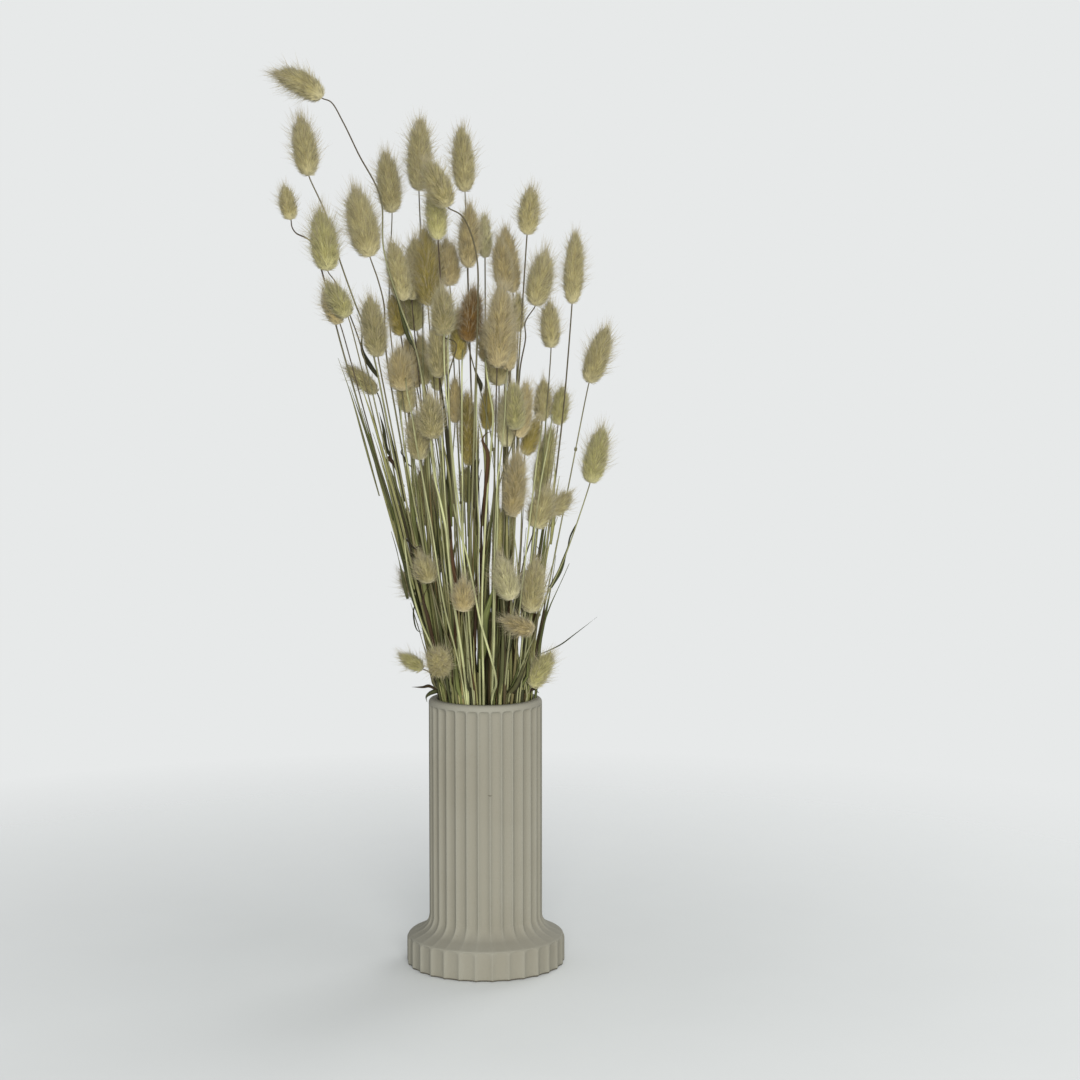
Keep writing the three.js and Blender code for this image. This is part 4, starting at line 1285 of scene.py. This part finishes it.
# A place in a pattern on dry grass: how often it repeats round it, how far it is stretched along it, and
# how far it is shifted from one stalk or blade to another.
def place_on_grass(tree, given, times_round, stretch, shift):
    return add_node(tree, "CombineXYZ", X=value_of(tree, "MULTIPLY", given["Round"], times_round),
                    Y=value_of(tree, "MULTIPLY", given["Run"], stretch),
                    Z=value_of(tree, "MULTIPLY", given["Tint"], shift)).outputs[0]


# Lengthwise fibres of dry grass, from how far along and how far round a stalk or blade a point is.
def make_fibres_group():
    group, given, result = new_group(
        "grass_fibres",
        [("Run", "Float", 0.0), ("Round", "Float", 0.0), ("Tint", "Float", 0.5), ("Count", "Float", 30.0)],
        [("Lines", "Float"), ("Blotches", "Float")],
    )
    narrow = place_on_grass(group, given, given["Count"], FIBRE_STRETCH, FIBRE_SHIFT)
    lines = noise(group, narrow, 1.0, detail=2.0, roughness=0.6).outputs["Fac"]
    wide = place_on_grass(group, given, BLOTCHES_ROUND, BLOTCH_STRETCH, BLOTCH_SHIFT)
    blotches = noise(group, wide, 1.0, detail=3.0).outputs["Fac"]
    group.links.new(spread(group, lines, *FIBRE_EDGES), result["Lines"])
    group.links.new(spread(group, blotches, *BLOTCH_EDGES), result["Blotches"])
    return group


HAIR_COLOUR_FROM = 0.45
TIP_COLOUR_STRENGTH = 0.75
FOOT_PAINTED_LIGHT_EDGES = (0.22, 0.02)
FOOT_PAINTED_LIGHT_STRENGTH = 0.75
BLACK = (0.0, 0.0, 0.0, 1.0)


# The colour of fur: darker at the roots, which is painted shade deep in the coat, paler at the tips of the
# hairs, and paler round the head's foot, which is painted light for the glow through its thin hairs; uneven
# from tuft to tuft, with whiskers in a colour of their own.
def make_fur_group():
    group, given, result = new_group(
        "fur_tone",
        [("Root Colour", "Color", (0.1, 0.1, 0.1, 1)), ("Hair Colour", "Color", (0.3, 0.3, 0.3, 1)),
         ("Tip Colour", "Color", (0.5, 0.5, 0.5, 1)), ("Foot Colour", "Color", (0.6, 0.6, 0.6, 1)),
         ("Whisker Colour", "Color", (0.1, 0.1, 0.1, 1)), ("Contrast", "Float", 0.3)],
        [("Colour", "Color")],
    )
    reach = point_value(group, "reach")
    share = point_value(group, "share")
    strand = point_value(group, "strand")
    # Painted shade at the roots of the hairs, deep in the coat.
    near_root = spread(group, reach, 0.0, HAIR_COLOUR_FROM)
    hair = mix(group, near_root, given["Root Colour"], given["Hair Colour"])
    near_tip = spread(group, reach, HAIR_COLOUR_FROM, 1.0, 0.0, TIP_COLOUR_STRENGTH)
    hair = mix(group, near_tip, hair, given["Tip Colour"])
    # Painted light round the head's foot, for the glow through its thin hairs.
    foot = spread(group, share, *FOOT_PAINTED_LIGHT_EDGES, 0.0, FOOT_PAINTED_LIGHT_STRENGTH)
    hair = mix(group, foot, hair, given["Foot Colour"])
    dim = spread(group, strand, 0.0, 1.0, 1.0, 0.0)
    darker = value_of(group, "MULTIPLY", dim, given["Contrast"])
    hair = mix(group, darker, hair, BLACK)
    hair = mix(group, point_value(group, "whisker"), hair, given["Whisker Colour"])
    group.links.new(hair, result["Colour"])
    return group


CLAY = colour(137, 135, 123)
CLAY_PATCHES = colour(130, 127, 114)
CLAY_SPECKS = colour(126, 118, 100)
CLAY_FLUTE_SHADE = colour(120, 114, 97)
CHIP_COLOUR = colour(84, 78, 64)
CONTACT_SHADOW_COLOUR = colour(62, 56, 44)
SPECK_STRENGTH = 0.35
FLUTE_SHADE_STRENGTH = 0.3
CONTACT_SHADOW_STRENGTH = 0.75
CHIP_STRENGTH = 0.8
CHIP_SHARP_PART = 0.3


# A short dark nick across one flute of the column.
def chip_mask(tree):
    split = add_node(tree, "SeparateXYZ", Vector=place_in_object(tree)).outputs
    x, _, z = (value * METRES for value in CHIP_PLACE)
    along = value_of(tree, "DIVIDE", value_of(tree, "SUBTRACT", split[0], x), CHIP_LENGTH / 2 * METRES)
    up = value_of(tree, "DIVIDE", value_of(tree, "SUBTRACT", split[2], z), CHIP_HEIGHT / 2 * METRES)
    far = value_of(tree, "ADD", value_of(tree, "MULTIPLY", along, along), value_of(tree, "MULTIPLY", up, up))
    front = value_of(tree, "LESS_THAN", split[1], 0.0)
    nick = spread(tree, far, 1.0, CHIP_SHARP_PART, 0.0, CHIP_STRENGTH)
    return value_of(tree, "MULTIPLY", nick, front)


def stoneware(patches, grain):
    material, tree, shader = new_material("bisque_stoneware")
    specks = use_group(tree, grain, Size=1400.0, Speck_Size=520.0, Speck_Share=0.35)
    clay = use_group(tree, patches, Colour=CLAY, Patch_Colour=CLAY_PATCHES, Size=14.0,
                     Strength=0.8)["Colour"]
    clay = mix(tree, value_of(tree, "MULTIPLY", specks["Specks"], SPECK_STRENGTH), clay, CLAY_SPECKS)
    # Painted shade in the flutes: the clay is darker the deeper the scoop.
    hollow = value_of(tree, "MULTIPLY", point_value(tree, "hollow"), FLUTE_SHADE_STRENGTH)
    clay = mix(tree, hollow, clay, CLAY_FLUTE_SHADE)
    clay = mix(tree, chip_mask(tree), clay, CHIP_COLOUR)
    # Painted contact shadow: a dark line round the lowest edge of the foot, where it stands on the floor.
    height = add_node(tree, "SeparateXYZ", Vector=place_in_object(tree)).outputs[2]
    contact_shadow = spread(tree, height, CONTACT_SHADOW_HEIGHT * METRES, CONTACT_SHADOW_HEIGHT * METRES / 2, 0.0, CONTACT_SHADOW_STRENGTH)
    clay = mix(tree, contact_shadow, clay, CONTACT_SHADOW_COLOUR)
    bump = add_node(tree, "Bump", Strength=0.35, Distance=0.0004, Height=specks["Height"])
    tree.links.new(clay, shader.inputs["Base Color"])
    tree.links.new(bump.outputs[0], shader.inputs["Normal"])
    shader.inputs["Roughness"].default_value = 0.82
    shader.inputs["Specular IOR Level"].default_value = 0.25
    return material


# The colours of dry grass: from what is fresh to what is driest, then of pale parts and of dark fibres.
STALK_COLOURS = {
    "stops": ((88, 82, 58), (112, 106, 72), (78, 70, 50), (62, 46, 30)),
    "pale": (198, 202, 148),
    "dark": (66, 56, 36),
}
SHEATH_COLOURS = {
    "stops": ((112, 120, 62), (182, 180, 112), (68, 72, 34), (156, 154, 92), (122, 94, 56)),
    "pale": (208, 204, 140),
    "dark": (48, 46, 22),
}
LEAF_COLOURS = {
    "stops": ((128, 136, 74), (70, 76, 36), (44, 40, 22), (82, 54, 30)),
    "pale": (176, 174, 114),
    "dark": (28, 24, 12),
}


FIBRE_STRENGTH = 0.5
BLOTCH_STRENGTH = 0.3


# Dry grass in its colours, with count fibres round it.
def dry_grass(name, patches, fibres, colours, count, roughness):
    material, tree, shader = new_material(name)
    tint = point_value(tree, "tint")
    pale, dark = colour(*colours["pale"]), colour(*colours["dark"])
    stops = [colour(*stop) for stop in colours["stops"]]
    ramp = add_node(tree, "ValToRGB", Fac=tint)
    ramp.color_ramp.elements[0].color = stops[0]
    ramp.color_ramp.elements[1].color = stops[-1]
    for number, stop in enumerate(stops[1:-1]):
        ramp.color_ramp.elements.new((number + 1) / (len(stops) - 1)).color = stop
    lines = use_group(tree, fibres, Run=point_value(tree, "run"), Round=point_value(tree, "round_it"),
                      Tint=tint, Count=count)
    skin = mix(tree, point_value(tree, "pale"), ramp.outputs["Color"], pale)
    skin = mix(tree, value_of(tree, "MULTIPLY", lines["Lines"], FIBRE_STRENGTH), skin, dark)
    skin = mix(tree, value_of(tree, "MULTIPLY", lines["Blotches"], BLOTCH_STRENGTH), skin, dark)
    skin = use_group(tree, patches, Colour=skin, Patch_Colour=dark, Size=60.0, Strength=0.25)["Colour"]
    bump = add_node(tree, "Bump", Strength=0.4, Distance=0.0003, Height=lines["Lines"])
    tree.links.new(skin, shader.inputs["Base Color"])
    tree.links.new(bump.outputs[0], shader.inputs["Normal"])
    shader.inputs["Roughness"].default_value = roughness
    shader.inputs["Specular IOR Level"].default_value = 0.3
    return material


# The fur's colours: at the roots, a painted shade deep in the coat, along the hairs, and at their tips. The
# tip colour is also the painted light round the head's foot.
FUR_COLOURS = {
    "sage": ((150, 138, 88), (198, 188, 134), (222, 214, 172)),
    "green": ((148, 143, 84), (196, 190, 128), (220, 215, 166)),
    "olive": ((128, 114, 50), (176, 160, 84), (206, 191, 120)),
    "tan": ((152, 135, 86), (201, 184, 131), (222, 208, 166)),
    "brown": ((92, 62, 22), (138, 102, 44), (172, 138, 76)),
    "pale": ((162, 156, 108), (208, 202, 156), (230, 224, 188)),
}
WHISKER_COLOUR = colour(160, 150, 122)
SHEEN_COLOUR = colour(214, 208, 184)
FUR_CONTRAST = 0.74


def fur(hue, group, patches):
    material, tree, shader = new_material(f"fur_{hue}")
    root, hair, tip = (colour(*shade) for shade in FUR_COLOURS[hue])
    # The root colour is painted shade deep in the coat; the tip colour is also the painted light round the
    # foot.
    tone = use_group(tree, group, Root_Colour=root, Hair_Colour=hair, Tip_Colour=tip,
                     Foot_Colour=tip, Whisker_Colour=WHISKER_COLOUR, Contrast=FUR_CONTRAST)["Colour"]
    tone = use_group(tree, patches, Colour=tone, Patch_Colour=root, Size=90.0, Strength=0.25)["Colour"]
    tree.links.new(tone, shader.inputs["Base Color"])
    shader.inputs["Roughness"].default_value = 0.9
    shader.inputs["Specular IOR Level"].default_value = 0.1
    shader.inputs["Sheen Weight"].default_value = 0.6
    shader.inputs["Sheen Roughness"].default_value = 0.6
    shader.inputs["Sheen Tint"].default_value = SHEEN_COLOUR
    return material


# Stage: a pale floor that fades into the pale room, soft lights and the camera. Its lengths are in metres.

FLOOR_SIZE = 1.6
FLOOR_FADE = (0.2, 0.9)
FLOOR_GRAIN = 9.0
FLOOR_GRAIN_EDGES = (0.3, 0.7)
FLOOR_GRAIN_STRENGTH = 0.25
FLOOR_TONE = colour(217, 220, 219)
FLOOR_GRAIN_TONE = colour(210, 213, 212)
WALL_TONE = colour(231, 233, 233)
GLOW_TONE = (0.97, 0.985, 1.0, 1.0)
GLOW_STRENGTH = 0.55
CLIP_START = 0.05
CLIP_END = 20

# Each light: its name, its place, its size, its power in watts and its colour.
LIGHTS = [
    ("window", (0.2, -2.3, 0.6), 1.0, 55, (1.0, 0.99, 0.97)),
    ("room_right", (1.9, -0.9, 0.6), 1.4, 3, (1.0, 0.99, 0.97)),
    ("room_back", (1.3, 1.9, 1.1), 1.6, 20, (1.0, 1.0, 1.0)),
]
LIGHT_AIM = np.array([0.0, 0.0, 0.35])


def make_floor():
    material, tree, shader = new_material("pale_floor")
    place = place_in_object(tree)
    distance = add_node(tree, "VectorMath", {"operation": "LENGTH"}, _0=place).outputs["Value"]
    fade = spread(tree, distance, *FLOOR_FADE, 1.0, 0.0)
    grain = noise(tree, place, FLOOR_GRAIN).outputs["Fac"]
    amount = spread(tree, grain, *FLOOR_GRAIN_EDGES, 0.0, FLOOR_GRAIN_STRENGTH)
    tone = mix(tree, amount, FLOOR_TONE, FLOOR_GRAIN_TONE)
    tree.links.new(tone, shader.inputs["Base Color"])
    tree.links.new(fade, shader.inputs["Alpha"])
    shader.inputs["Roughness"].default_value = 0.7
    mesh = bpy.data.meshes.new("floor")
    corners = [(x * FLOOR_SIZE, y * FLOOR_SIZE, 0) for x, y in ((-1, -1), (1, -1), (1, 1), (-1, 1))]
    mesh.from_pydata(corners, [], [(0, 1, 2, 3)])
    mesh.materials.append(material)
    floor = bpy.data.objects.new("floor", mesh)
    bpy.context.scene.collection.objects.link(floor)


def make_room():
    world = bpy.data.worlds.new("pale_room")
    bpy.context.scene.world = world
    world.use_nodes = True
    tree = world.node_tree
    tree.nodes.clear()
    seen = add_node(tree, "Background", Color=WALL_TONE, Strength=1.0)
    glow = add_node(tree, "Background", Color=GLOW_TONE, Strength=GLOW_STRENGTH)
    camera_ray = add_node(tree, "LightPath").outputs["Is Camera Ray"]
    both = add_node(tree, "MixShader", _0=camera_ray, _1=glow.outputs[0], _2=seen.outputs[0])
    result = add_node(tree, "OutputWorld")
    tree.links.new(both.outputs[0], result.inputs["Surface"])


def add_light(name, place, size, power, tint):
    light = bpy.data.lights.new(name, "AREA")
    light.shape = "DISK"
    light.size = size
    light.energy = power
    light.color = tint
    lamp = bpy.data.objects.new(name, light)
    back = unit(np.array(place) - LIGHT_AIM)
    lamp.location = place
    lamp.rotation_mode = "XYZ"
    lamp.rotation_euler = (math.acos(back[2]), 0, math.atan2(back[1], back[0]) + math.pi / 2)
    lamp.visible_camera = False
    bpy.context.scene.collection.objects.link(lamp)


def make_camera():
    camera = bpy.data.cameras.new("camera")
    camera.sensor_width = VIEW_SENSOR
    camera.lens = VIEW_SENSOR * VIEW_FOCAL / (2 * VIEW_CENTRE)
    camera.clip_start = CLIP_START
    camera.clip_end = CLIP_END
    holder = bpy.data.objects.new("camera", camera)
    holder.location = VIEW_POINT * METRES
    holder.rotation_euler = (math.pi / 2 - VIEW_PITCH, 0, 0)
    bpy.context.scene.collection.objects.link(holder)
    bpy.context.scene.camera = holder


# The whole scene

def build():
    bpy.context.scene.view_settings.view_transform = "Standard"
    make_camera()
    make_floor()
    make_room()
    for light in LIGHTS:
        add_light(*light)

    patches = make_patches_group()
    grain = make_grain_group()
    fibres = make_fibres_group()
    fur_group = make_fur_group()
    make_vase(stoneware(patches, grain))

    seeds = [seed for seeds in HEADS for seed in seeds]
    routes = lay_stems(seeds)
    paths = [stalk_path(route, seed) for route, seed in zip(routes, seeds)]
    rng = np.random.default_rng(SEED)
    stalk = dry_grass("stalk", patches, fibres, STALK_COLOURS, count=8.0, roughness=0.6)
    sheath = dry_grass("sheath", patches, fibres, SHEATH_COLOURS, count=14.0, roughness=0.65)
    blade = dry_grass("leaf", patches, fibres, LEAF_COLOURS, count=16.0, roughness=0.7)
    make_stalks(paths, stalk, rng)
    make_sheaths(paths, sheath, rng)
    make_leaves(paths, blade, rng)

    furs = {hue: fur(hue, fur_group, patches) for hue in FUR_COLOURS}
    make_heads(furs, rng)


build()
